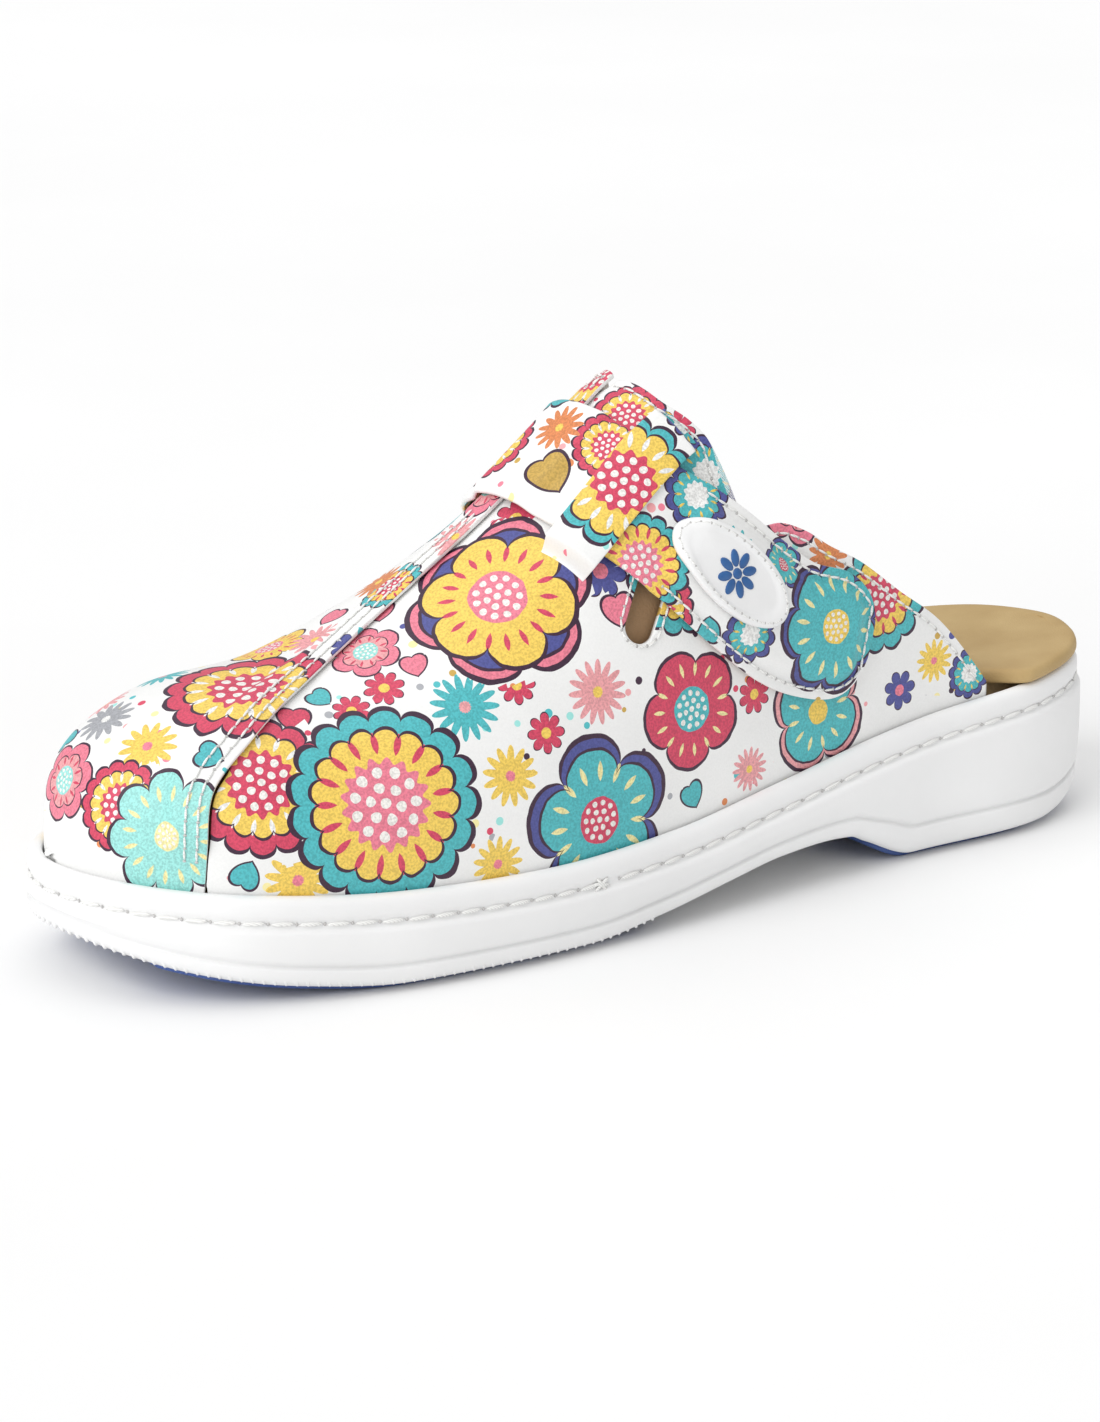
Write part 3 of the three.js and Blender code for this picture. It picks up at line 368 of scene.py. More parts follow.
def sole_sides(stations):
    """Points along both sides of the outline, toe to heel, with the way inwards at each."""
    sides = []
    for points, turn in zip(drawn_in(0.0), (1, -1)):
        walked = walked_along(points)
        tangent = unit(np.gradient(points, axis=0)) * turn
        inward = np.column_stack([tangent[:, 1], -tangent[:, 0]])
        at = np.linspace(0, walked[-1], stations + 1)
        even = [np.interp(at, walked, v) for v in (*points.T, *inward.T)]
        sides.append((np.column_stack(even[:2]), unit(np.column_stack(even[2:]))))
    for points, inward in sides:
        inward[0], inward[-1] = (1, 0), (-1, 0)
    return sides


def stack_level(base, inward, inset, height):
    at = base + inward * inset
    return np.column_stack([at, height(at[:, 0])])


BAND_LEVELS = [(4.2, 0), (3.3, .02), (2.5, .08), (1.8, .18), (1.25, .3), (0.9, .45), (0.72, .6), (0.62, .75),
               (0.58, .88), (0.62, .96), (0.8, 1)]
GROOVE_LEVELS = [(1.25, .12), (1.5, .4), (1.35, .75), (0.85, 1.05), (0.5, 1.4), (0.33, 2.0)]
WALL_LEVELS = [(0.22, .12), (0.1, .3), (0, .5), (0, .7), (0.02, .88), (0.05, 1)]
RIM_LEVELS = [
    (0.07, -7.9), (0.14, -7.5), (0.35, -7.1), (0.75, -6.8), (1.15, -6.5), (1.35, -6.1), (1.42, -5.5),
    (1.38, -4.9), (1.2, -4.5), (1.02, -4.1), (0.92, -3.6), (0.9, -2.6), (1.0, -1.7), (1.3, -1.0),
    (1.75, -0.5), (2.25, -0.18), (2.75, -0.03), (3.2, 0), (3.6, -0.05), (3.95, -0.3), (4.15, -0.8),
    (4.2, -2), (4.2, -CUP_DEPTH),
]


def sole_levels():
    band_top = lambda x: under_height(x) + band_height(x)
    wall_top = lambda x: np.maximum(rim_height(x) - 8.6, band_top(x) + 2.3)
    levels = []
    for inset, k in BAND_LEVELS:
        levels.append((inset, lambda x, k=k: lerp(under_height(x) + TREAD_SHOWING, band_top(x), k)))
    for inset, up in GROOVE_LEVELS:
        levels.append((inset, lambda x, up=up: band_top(x) + up))
    for inset, k in WALL_LEVELS:
        levels.append((inset, lambda x, k=k: lerp(band_top(x) + 2, wall_top(x), k)))
    for inset, down in RIM_LEVELS:
        levels.append((inset, lambda x, down=down: rim_height(x) + down))
    return levels


def sole_places():
    (inner, inner_in), (outer, outer_in) = sole_sides(SOLE_STATIONS)
    levels = sole_levels()
    outer_wall = [stack_level(outer, outer_in, inset, height) for inset, height in levels]
    inner_wall = [stack_level(inner, inner_in, inset, height) for inset, height in levels]
    across = np.linspace(0, 1, 12)[1:-1]
    floor = [lerp(outer_wall[-1], inner_wall[-1], k) for k in across]
    underside = [lerp(inner_wall[0], outer_wall[0], k) for k in across]
    ring = outer_wall + floor + inner_wall[::-1] + underside
    return np.stack(ring + ring[:1], axis=1)


sole = put_on(laid_grid("sole", sole_places()), "shoe", "sole_unit")

# %% [markdown]
# ## Stitches, ribs and tread
# Sewing is a row of short threads that dip into the surface at each needle hole, so each stitch is one small
# stretched ball turned to follow its line. The same ball, pressed flat, makes the slanted ribs that run round
# the front of the lower band.

# %% Rows of small balls along a line
def along_line(points, outward, pitch, start=0.0):
    """Places every pitch millimetres along a line: middle, direction and outward."""
    walked = walked_along(points)
    at = np.arange(start + pitch / 2, walked[-1] - pitch / 4, pitch)
    follow = lambda values: np.column_stack([np.interp(at, walked, v) for v in values.T])
    return follow(points), unit(follow(np.gradient(points, axis=0))), unit(follow(outward))


def row_of_balls(bm, places, size, lean=0.0, sink=0.0, coarse=False):
    """size is length, width and height; lean turns each ball in the surface; sink lowers it."""
    for middle, forward, outward in zip(*places):
        side = unit(np.cross(outward, forward))
        ahead = unit(forward * math.cos(lean) + side * math.sin(lean))
        side = np.cross(outward, ahead)
        centre = to_frame(middle - outward * sink)
        axes = [v * s / 2000 for v, s in zip((ahead, side, outward), size)]
        turn = Matrix([[axes[c][r] for c in range(3)] + [centre[r]] for r in range(3)] + [[0, 0, 0, 1]])
        u, v = (6, 4) if coarse else (8, 6)
        bmesh.ops.create_uvsphere(bm, u_segments=u, v_segments=v, radius=1, matrix=turn)


def stitch_row(name, body, node, rows, pitch, thickness=0.75, lift=0.25):
    """Stitches along one or more rows of (points, outward), and grey balls of painted shade at their needle
    holes.
    """
    bm, holes = bmesh.new(), bmesh.new()
    for points, outward in rows:
        places = along_line(points, outward, pitch)
        row_of_balls(bm, places, (pitch * 0.9, thickness, thickness * 0.9), lean=0.06, sink=-lift)
        ends = along_line(points, outward, pitch, start=-pitch / 2)
        # painted shade: a small grey ball at each needle hole stands for the dark inside the hole
        row_of_balls(holes, ends, (0.7, 0.9, 0.35), coarse=True)
    print(name, len(bm.faces), "faces")
    for part, label in ((bm, name), (holes, name + "_holes")):
        bmesh.ops.recalc_face_normals(part, faces=part.faces)
        piece = put_on(finish_mesh(label, part), body)
        if label == name:
            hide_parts(node)


# %% Stitches round the sole
SEWING_LINE = 5.5
(inner_side, inner_in), (outer_side, outer_in) = sole_sides(SOLE_STATIONS)
round_sole = np.vstack([outer_side[::-1], inner_side[1:]])
round_in = np.vstack([outer_in[::-1], inner_in[1:]])
TIED_AT = 108.0
tied = int(np.argmin(np.abs(round_sole[: SOLE_STATIONS, 0] - TIED_AT)))
round_sole, round_in = (np.roll(v, -tied, 0) for v in (round_sole, round_in))


def round_the_sole(inset, height):
    points = stack_level(round_sole, round_in, inset, height)
    return points, np.column_stack([-round_in, np.zeros(len(round_in))])


sewn = round_the_sole(1.25, lambda x: rim_height(x) - SEWING_LINE)
stitch_row("sole_stitches", "shoe", "sidewall_thread", [sewn], pitch=5.9, thickness=0.95, lift=0.05)

# %% The tied ends and the slanted ribs
RIB_PITCH = 2.3
RIBS_TO_X = 122.0
bm = bmesh.new()
knot_middle, knot_out = round_the_sole(0.95, lambda x: rim_height(x) - SEWING_LINE)
for lean in (0.6, 2.2, 2.9):
    one = (knot_middle[:1], unit(knot_middle[1:2] - knot_middle[:1]), knot_out[:1])
    row_of_balls(bm, one, (4.6, 0.9, 0.8), lean=lean)
knot = put_on(finish_mesh("tied_thread_ends", bm), "shoe")

bm = bmesh.new()
band_middle = lambda x: lerp(under_height(x) + TREAD_SHOWING, under_height(x) + band_height(x), 0.42)
points, outward = round_the_sole(1.35, band_middle)
toe_first = np.roll(np.arange(len(points)), tied)
middles, forwards, outwards = along_line(points[toe_first], outward[toe_first], RIB_PITCH)
front = middles[:, 0] < RIBS_TO_X
row_of_balls(bm, (middles[front], forwards[front], outwards[front]), (3.3, 1.25, 1.15),
             lean=-1.0, sink=0.24, coarse=True)
ribs = put_on(finish_mesh("band_ribs", bm), "shoe")
print("ribs", int(front.sum()))


# %% Tread pads with a wavy grip
def tread_pad(name, node, start, end):
    """A pad that follows the underside, with rounded ends and waves cut across its lower face."""
    inset, thickness, corner, end_round = 5.5, 3.0, 0.5, 12.0
    x = np.linspace(start, end, 240)
    outer, inner = edges_at(x, inset)
    from_end = np.minimum(np.where(start > 20, x - start, 99), np.where(end < 250, end - x, 99))
    ends = np.sqrt(1 - (1 - np.clip(from_end / end_round, 0, 1)) ** 2)
    side, past, share = round_corners(thickness, corner, 60)
    half = (inner - outer) / 2 * np.maximum(ends, 0.3)
    y = ((outer + inner) / 2)[:, None] + side * np.maximum(half - corner, 0.1)[:, None] + past
    across = x[:, None] + 0 * y
    wave = np.sin((across + 2.4 * np.sin(y * 0.42)) * 2 * math.pi / 6.5)
    inside = smooth(half[:, None] - np.abs(y - ((outer + inner) / 2)[:, None]), 2.5, 3.3)
    inside = inside * smooth(np.minimum(x - start, end - x), 3, 4)[:, None]
    grip = 1.1 * smooth(wave, 0.2, 0.75) * inside * (share < 0.5)
    z = under_height(across) + 0.02 + thickness * share + grip
    pad = put_on(laid_grid(name, np.stack([across, y, z], -1)), "shoe", node)
    return pad


front_pad = tread_pad("forefoot_grip", "forefoot_tread", 16, 132)
rear_pad = tread_pad("heel_grip", "heel_tread", 184, 255)

# %% [markdown]
# ## The footbed
# A foam cover wrapped in tan leather lies loose in the cup. It keeps inside the lining under the upper and
# spreads over the rim at the open heel. Its edge is rolled, and its top dips where the heel and the ball of
# the foot have pressed it.

# %% The footbed cover
FOOTBED_INSET = 9.25
HEEL_OPEN, HEEL_WIDE, HEEL_INSET = 223, 233, 1.2
EDGE_LEVELS = [(0.9, 0.0), (0.45, 0.12), (0.12, 0.35), (0, 0.7), (0, 1.3), (0.08, 1.9), (0.3, 2.5),
               (0.7, 2.95), (1.3, 3.17), (2.2, 3.22), (3.6, 3.2)]
DISHES = [(228, 26, 0.9), (88, 30, 0.7)]  # station, reach and depth of the dips under the heel and the ball


def footbed_places():
    sides = []
    for points, inward in sole_sides(260):
        spread = smooth(points[:, 0], HEEL_OPEN, HEEL_WIDE)
        inset = lerp(FOOTBED_INSET, HEEL_INSET, spread)
        sides.append((points + inward * inset[:, None], inward))
    (inner, inner_in), (outer, outer_in) = sides
    outer_edge, inner_edge = (
        [stack_level(base, inward, inset, lambda x: rim_height(x) + 0.4 + up) for inset, up in EDGE_LEVELS]
        for base, inward in ((outer, outer_in), (inner, inner_in)))
    across = np.linspace(0, 1, 34)[1:-1]
    top = []
    for k in across:
        row = lerp(outer_edge[-1], inner_edge[-1], k)
        hollow = math.sin(math.pi * k) ** 1.2
        dips = sum(deep * np.exp(-((row[:, 0] - at) / reach) ** 2) for at, reach, deep in DISHES)
        row[:, 2] -= hollow * dips
        top.append(row)
    under = [lerp(inner_edge[0], outer_edge[0], k) for k in across]
    ring = outer_edge + top + inner_edge[::-1] + under
    return np.stack(ring + ring[:1], axis=1)


footbed = put_on(laid_grid("footbed_top", footbed_places()), "footbed", "footbed_cover")

# %% [markdown]
# ## The upper
# Two panels meet at a seam that climbs from the outer toe to the throat. The inner one runs round the toe and
# laps over the outer one, which stays flat under it. Each panel is laid in columns, from its cut edge down to
# the rim, and the grid goes up the inside of the leather, over the cut edge and down the outside.

# %% The lap of the seam
LEATHER = 1.1
LAP, LAP_FALL = 6.5, 4.0
LAP_LIFT = LEATHER + 0.6
seam_points = last(*seam.path[::3].T)


def lap_lift(x, degrees):
    """The toe panel climbs on the outer one beside the seam, and both lie level near the rim."""
    x, degrees = np.broadcast_arrays(x, degrees)
    places = last(x, degrees)
    flat = places.reshape(-1, 3)
    near = np.empty(len(flat))
    for i in range(0, len(flat), 4000):
        gaps = np.linalg.norm(flat[i:i + 4000, None] - seam_points, axis=2)
        near[i:i + 4000] = gaps.min(1)
    high = places[..., 2] - rim_height(x)
    fall = 1 - smooth(near.reshape(x.shape), LAP, LAP + LAP_FALL)
    return LAP_LIFT * fall * smooth(high, 5, 12)


# %% Panels laid in columns
SKIRT = 4.6
REAR_X, THROAT_X, SEAM_FOOT_X = 221, 150, 23.5
SEAM_SHARE, TOE_SHARE, VAMP_SEAM_SHARE = 0.5, 0.2, 0.6


def quarter_edge(t, under, short=0.0):
    share = np.clip(t / SEAM_SHARE, 0, 1)
    held = smooth(share, 0.15, 0.23) * (1 - smooth(share, 0.93, 0.99))
    on_seam = seam.beside(share, lerp(min(-0.3, under), under, held))
    on_top = outer_topline.beside(np.clip((t - SEAM_SHARE) / (1 - SEAM_SHARE), 0, 1), -short)
    return [np.where(t > SEAM_SHARE, b, a) for a, b in zip(on_seam, on_top)]


def quarter_foot(t):
    first = lerp(SEAM_FOOT_X, THROAT_X, np.clip(t / SEAM_SHARE, 0, 1) ** 1.3)
    second = lerp(THROAT_X, REAR_X, (t - SEAM_SHARE) / (1 - SEAM_SHARE))
    return np.where(t <= SEAM_SHARE, first, second), 0 * t


def vamp_edge(t, shift=0.0, start=0.02, short=0.0):
    seam_x, _ = seam.beside(0.0, shift)
    toe_x = lerp(TOE_X + start, seam_x, np.clip(t / TOE_SHARE, 0, 1) ** 1.5)
    on_seam = seam.beside(np.clip((t - TOE_SHARE) / (VAMP_SEAM_SHARE - TOE_SHARE), 0, 1), shift)
    on_top = inner_topline.beside(np.clip((t - VAMP_SEAM_SHARE) / (1 - VAMP_SEAM_SHARE), 0, 1), short)
    pick = lambda toe, a, b: np.where(t <= TOE_SHARE, toe, np.where(t <= VAMP_SEAM_SHARE, a, b))
    return pick(toe_x, on_seam[0], on_top[0]), pick(0 * t, on_seam[1], on_top[1])


def vamp_foot(t, start=0.02):
    toe = lerp(TOE_X + start, 26, np.clip(t / TOE_SHARE, 0, 1) ** 1.5)
    first = lerp(26, THROAT_X, (t - TOE_SHARE) / (VAMP_SEAM_SHARE - TOE_SHARE))
    second = lerp(THROAT_X, REAR_X, (t - VAMP_SEAM_SHARE) / (1 - VAMP_SEAM_SHARE))
    return np.where(t <= TOE_SHARE, toe, np.where(t <= VAMP_SEAM_SHARE, first, second)), 0 * t + 180


def panel(name, edge, foot, top, thickness, corner, rows, tucked=None):
    """edge and foot are (x, degrees) of every column; top(x, degrees) is the lift of the outer face."""
    samples = np.linspace(0, 1, 81)
    x = lerp(edge[0][:, None], foot[0][:, None], samples)
    degrees = lerp(edge[1][:, None], foot[1][:, None], samples)
    steps = np.linalg.norm(np.diff(last(x, degrees), axis=1), axis=2)
    walked = np.concatenate([np.zeros((len(x), 1)), np.cumsum(steps, axis=1)], axis=1)
    turn = np.radians(np.linspace(-90, 90, 7))
    near = corner * (1 - np.cos(turn))
    low, high = corner * (1 + np.sin(turn)), thickness - corner * (1 - np.sin(turn))
    height = np.where(turn < 0, low, high) / thickness
    faces = np.linspace(0, 1, rows + 1)[1:]
    share = np.concatenate([faces[::-1], 0 * near, faces])
    close = np.concatenate([0 * faces + corner, near, 0 * faces + corner])
    height = np.concatenate([0 * faces, height, 0 * faces + 1])
    wanted = close + share * np.maximum(walked[:, -1:] - close, 0)
    s = np.array([np.interp(w, row, samples) for w, row in zip(wanted, walked)])
    x = lerp(edge[0][:, None], foot[0][:, None], s)
    degrees = lerp(edge[1][:, None], foot[1][:, None], s)
    places = skin(x, degrees, top(x, degrees) - thickness * (1 - height))
    if tucked is not None:
        places[..., 2] -= SKIRT * (tucked[:, None] & (share == 0))
    skirt = skin(x[:, :1], degrees[:, :1], top(x[:, :1], degrees[:, :1]) - thickness / 2) - [0, 0, SKIRT]
    return laid_grid(name, np.concatenate([skirt, places, skirt], axis=1))


across_quarter = np.linspace(0, 1, 280)
quarter = panel("outer_quarter_leather", quarter_edge(across_quarter, 4.5), quarter_foot(across_quarter),
                lambda x, degrees: 0 * x, LEATHER, 0.35, 76)
across_vamp = np.linspace(0, 1, 360)
vamp = panel("toe_panel_leather", vamp_edge(across_vamp), vamp_foot(across_vamp),
             lap_lift, LEATHER, 0.35, 100, tucked=across_vamp <= TOE_SHARE)

# %% Linings
LINING, LINING_TOP = 0.9, -LEATHER - 1.15
across_lining = np.linspace(0, 1, 150)
flat_lining = lambda x, degrees: LINING_TOP + 0 * x
outer_lining = panel("outer_lining", quarter_edge(across_lining, -0.6, 0.8), quarter_foot(across_lining),
                     flat_lining, LINING, 0.3, 36)
inner_lining = panel("inner_lining", vamp_edge(across_lining, 0.6, 0.6, 0.8), vamp_foot(across_lining, 0.6),
                     flat_lining, LINING, 0.3, 36, tucked=across_lining <= TOE_SHARE)
put_on(outer_lining, "shoe", "lateral_lining")
put_on(inner_lining, "shoe", "medial_lining")

# %% [markdown]
# ## Slot and keeper
# The keeper is a bridge of the same leather that holds the strap down, and below the tab there is a spare
# slot for it. The slot is cut with a Boolean, because it goes through a finished sheet, and the keeper is a
# strip that rises over the strap and falls back to the panel.

# %% Cut the slot
SLOT_HALF = 3.6
slot_share = np.linspace(0, 1, 40) ** 1.3
slot_end = lambda t: SLOT_HALF * np.maximum(np.sqrt(1 - (1 - np.clip(t / 0.16, 0, 1)) ** 2), 0.1)
cutter = strip("slot_cutter", slot_line, slot_share, slot_end, lambda t, o: -3.0 + 0 * o, 5.0, 0.3, 8)
cut = quarter.modifiers.new("slot", "BOOLEAN")
cut.object, cut.operation, cut.solver = cutter, "DIFFERENCE", "EXACT"


def apply_modifiers(piece):
    bpy.context.view_layer.update()
    made = bpy.data.meshes.new_from_object(piece.evaluated_get(bpy.context.evaluated_depsgraph_get()))
    piece.modifiers.clear()
    piece.data = made
    made.polygons.foreach_set("use_smooth", [True] * len(made.polygons))


apply_modifiers(quarter)
bpy.data.objects.remove(cutter)
put_on(quarter, "shoe", "lateral_quarter")
put_on(vamp, "shoe", "medial_vamp")
print("outer quarter after the cut:", len(quarter.data.polygons), "faces")

# %% The keeper
STRAP_THICKNESS = LEATHER + 0.3 + 0.6 + 0.15
KEEPER_LIFT = 0.55 + STRAP_THICKNESS + 0.3
KEEPER_HALF = 5.6
keeper_rise = lambda t: smooth(t, 0, 0.08) * (1 - smooth(t, 0.9, 0.97))
keeper_share = 0.99 * (1 - np.cos(np.linspace(0, math.pi, 120))) / 2    # denser at its steep ends
keeper_low = lambda t, o: lerp(0.06 - LEATHER, KEEPER_LIFT, keeper_rise(t)) + 0 * o
keeper = strip("keeper_bridge", keeper_line, keeper_share, lambda t: KEEPER_HALF + 0 * t, keeper_low,
               LEATHER, 0.3, 14)
put_on(keeper, "shoe")

# %% [markdown]
# ## Strap and tab
# The strap is sewn down on the inner side, crosses over the throat, goes under the keeper and comes out as a
# tab that is held by hook and loop. The strip is made in two lengths that meet out of sight under the keeper:
# the fixed strap, and the tab past its root, which lifts a little off the panel. The strap's long edges are
# rolled under.

# %% The strap and its tab
TAB_ROOT_X = 133
HALF_STRAP = 13.5
BACKING = 0.6
BACKING_ROOM = 0.45
TAB_END = 15.0
outer_half = slice(len(band.path) // 2, None)
root_share = float(np.interp(TAB_ROOT_X, band.path[outer_half, 0], band.walked[outer_half])) / band.length
TAB_LENGTH = (1 - root_share) * band.length


def from_root(t):
    return (t - root_share) * band.length


def band_half(t):
    wide = HALF_STRAP + smooth(from_root(t), 0, 20)
    left = np.clip(1 - (TAB_LENGTH - from_root(t)) / TAB_END, 0, 1)
    return wide * np.maximum((1 - left ** 2.4) ** (1 / 2.4), 0.03)


def tab_low(t, offset):
    side = smooth(band_half(t) - np.abs(offset), 3, 6)
    rise = smooth(from_root(t), 3, 9) * smooth(TAB_LENGTH - from_root(t), 2, 7)
    return 0.3 + 1.8 * side * rise


def strap_low(t, offset):
    return 0.55 + lap_lift(*band.beside(t, offset))


def band_low(t, offset):
    """Underside of the leather: the strap up to the root of the tab, and the tab past it."""
    on_tab = smooth(from_root(t), -4, 3)
    rolled = 0.75 * smooth(np.abs(offset), HALF_STRAP - 1.7, HALF_STRAP - 0.2) * (1 - on_tab)
    return lerp(strap_low(t, offset), tab_low(t, offset), on_tab) + BACKING + BACKING_ROOM - rolled


MEET = 8.0          # the two lengths meet this far before the root, under the middle of the keeper
meet_share = root_share - MEET / band.length
strap_share = np.linspace(0, meet_share - 0.15 / band.length, 200)
strap = strip("instep_strap", band, strap_share, band_half, band_low, LEATHER, 0.4, 36, round_ends=(0.5, 0.1))
put_on(strap, "shoe", "strap")
tab_share = np.concatenate([np.linspace(meet_share + 0.15 / band.length, 0.93, 150),
                            1 - 0.07 * (1 - np.linspace(0, 1, 50)[1:]) ** 1.6])
tab = strip("peel_tab", band, tab_share, band_half, band_low, LEATHER, 0.4, 36, round_ends=(0.1, 0.4))
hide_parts("strap_tab")


def on_tab(distance, offset, lift):
    """A point above the tab's outer face, a distance past its root."""
    t = root_share + np.asarray(distance, float) / band.length
    return skin(*band.beside(t, offset), band_low(t, offset) + LEATHER + lift)


root_top, root_next = on_tab(-1.5, 0.0, -0.5), on_tab(2.5, 0.0, -0.5)
to_frame(root_top)
to_frame(root_next)
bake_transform(tab)
print("tab", round(TAB_LENGTH, 1), "mm long")

# %% [markdown]
# ## The badge
# A soft rubber oval with a raised rim is sewn on the tab. Its section is turned round an oval, and each point
# is then laid on the tab, so the badge curves with it. A plain daisy takes the place of any lettering.

# %% Badge, rim and daisy
BADGE_LENGTH, BADGE_WIDTH, BADGE_MIDDLE = 33.0, 16.0, 19.0
BADGE_FACE = 0.3 + 1.2
# share of the oval's reach, and height: from the middle over the rim and back underneath
BADGE_SECTION = [
    (0.02, 1.2), (0.2, 1.2), (0.4, 1.2), (0.6, 1.2), (0.72, 1.2), (0.76, 1.27), (0.8, 1.5), (0.84, 1.72),
    (0.89, 1.8), (0.94, 1.74), (0.98, 1.5), (1, 1.1), (1, 0.5), (0.98, 0.2), (0.9, 0.05), (0.4, 0.05),
    (0.02, 0.05),
]
reach, height = np.array(BADGE_SECTION).T
angle = np.linspace(0, 2 * math.pi, 97)
badge_along = BADGE_MIDDLE + BADGE_LENGTH / 2 * reach[:, None] * np.cos(angle)
badge_across = BADGE_WIDTH / 2 * reach[:, None] * np.sin(angle)
badge = laid_grid("badge_oval", on_tab(badge_along, badge_across, 0.3 + height[:, None]))
put_on(badge, "tab", "badge")


def lay_on_badge(bm, lift):
    """Bends a flat piece drawn in millimetres onto the badge."""
    flat = np.array([v.co for v in bm.verts])
    laid = to_frame(on_tab(BADGE_MIDDLE + flat[:, 0], flat[:, 1], lift + flat[:, 2]))
    for v, place in zip(bm.verts, laid):
        v.co = place


PETALS = 8
PETAL, MIDDLE = (1.9, 1.05, 0.42, 1), (1.2, 1.2, 0.55, 1)
PETAL_AT = 3.3
lumps = [Matrix.Rotation(i * 2 * math.pi / PETALS, 4, "Z") @ Matrix.Translation((PETAL_AT, 0, 0))
         @ Matrix.Diagonal(PETAL) for i in range(PETALS)]
bm = bmesh.new()
for lump in lumps + [Matrix.Diagonal(MIDDLE)]:
    bmesh.ops.create_uvsphere(bm, u_segments=16, v_segments=8, radius=1, matrix=lump)
lay_on_badge(bm, BADGE_FACE)
daisy = put_on(finish_mesh("badge_daisy", bm), "tab", "badge_flower")

# %% [markdown]
# ## Stitches of the upper
# White thread holds the lap in two rows, follows both toplines, the slot, the edge of the tab, the badge and
# the sewn end of the strap.

# %% Rows of stitches on leather
def row_beside(line, start, end, distance, lift, samples=160):
    t = np.linspace(start, end, samples)
    x, degrees = line.beside(t, distance)
    points = skin(x, degrees, lift(x, degrees) if callable(lift) else lift)
    return points, unit(skin(x, degrees, 1.0) - skin(x, degrees, 0.0))


def share_at(line, x):
    return float(np.interp(x, line.path[:, 0], line.walked)) / line.length


def tab_row(distance, offset, lift=0.0):
    points = on_tab(distance, offset, lift)
    return points, unit(on_tab(distance, offset, lift + 1) - points)


SEAM_ROWS = (2.0, 4.4)
for number, beside in enumerate(SEAM_ROWS, 1):
    stitch_row(f"seam_stitches_{number}", "shoe", f"seam_thread_{number}",
               [row_beside(seam, 0.03, share_at(seam, 105), beside, lap_lift),
                row_beside(seam, share_at(seam, 134), 0.995, beside, lap_lift, 30)], pitch=2.9, thickness=0.6)
stitch_row("outer_topline_stitches", "shoe", "outer_topline_thread",
           [row_beside(outer_topline, 0.01, 0.985, -2.2, 0.0)], pitch=2.9, thickness=0.6)
stitch_row("inner_topline_stitches", "shoe", "inner_topline_thread",
           [row_beside(inner_topline, 0.01, 0.985, 2.2, lap_lift)], pitch=2.9, thickness=0.6)

round_slot = np.linspace(-1, 1, 80)
slot_turn = np.clip(round_slot / 0.3, -1, 1) * math.pi / 2
slot_reach = SLOT_HALF + 1.3
slot_along = np.maximum(np.abs(round_slot) - 0.3, 0) * 20 + slot_reach * (0.9 - np.cos(slot_turn))
slot_along = slot_along / slot_line.length
slot_x, slot_degrees = slot_line.beside(np.maximum(slot_along, 0), slot_reach * np.sin(slot_turn))
before = np.minimum(slot_along, 0) * slot_line.length
head = slot_line.path[1] - slot_line.path[0]
head_length = np.linalg.norm(last(*slot_line.path[1]) - last(*slot_line.path[0]))
slot_x, slot_degrees = slot_x + before * head[0] / head_length, slot_degrees + before * head[1] / head_length
slot_points = skin(slot_x, slot_degrees, 0.0)
stitch_row("slot_stitches", "shoe", "slot_thread",
           [(slot_points, skin(slot_x, slot_degrees, 1.0) - slot_points)], pitch=2.6, thickness=0.55)

EDGE_ROW = 2.2
tab_half = lambda distance: band_half(root_share + distance / band.length)
leg = np.linspace(5, TAB_LENGTH - EDGE_ROW, 120)
leg_offset = np.maximum(tab_half(leg) - EDGE_ROW, 0)
both_legs = tab_row(np.concatenate([leg, leg[::-1]]), np.concatenate([leg_offset, -leg_offset[::-1]]))
stitch_row("tab_stitches", "tab", "tab_thread", [both_legs], pitch=2.9, thickness=0.6)

RIM_MIDDLE = 1.2         # the badge is sewn along the middle of its rim
turn = np.linspace(0, 2 * math.pi, 160)
badge_row = tab_row(BADGE_MIDDLE + (BADGE_LENGTH / 2 - RIM_MIDDLE) * np.cos(turn),
                    (BADGE_WIDTH / 2 - RIM_MIDDLE) * np.sin(turn), 1.95)
stitch_row("badge_stitches", "tab", "badge_thread", [badge_row], pitch=2.3, thickness=0.4, lift=0.1)

ANCHOR_LENGTH = 18.0
box_half = HALF_STRAP - EDGE_ROW
corners = [(ANCHOR_LENGTH, -box_half), (EDGE_ROW, -box_half), (EDGE_ROW, box_half), (ANCHOR_LENGTH, box_half),
           (ANCHOR_LENGTH, -box_half)]
sides = [np.column_stack([np.linspace(a, b, 20) for a, b in zip(p, q)]) for p, q in zip(corners, corners[1:])]
anchor_rows = []
for side in sides:
    t, offset = side[:, 0] / band.length, side[:, 1]
    x, degrees = band.beside(t, offset)
    lift = band_low(t, offset) + LEATHER
    anchor_rows.append((skin(x, degrees, lift), unit(skin(x, degrees, 1.0) - skin(x, degrees, 0.0))))
stitch_row("strap_anchor_stitches", "shoe", "strap_anchor_thread", anchor_rows, pitch=2.9, thickness=0.6)

# %% [markdown]
# ## The print
# The leather is printed before it is cut, so the flowers stop at every cut edge. Each flower is stamped on
# the faces round its middle: they carry the flower's own flat coordinates in a UV map, and a few numbers that
# say how many petals it has and which inks. One material then draws any flower from those numbers, so the
# print follows the curved leather without an image.

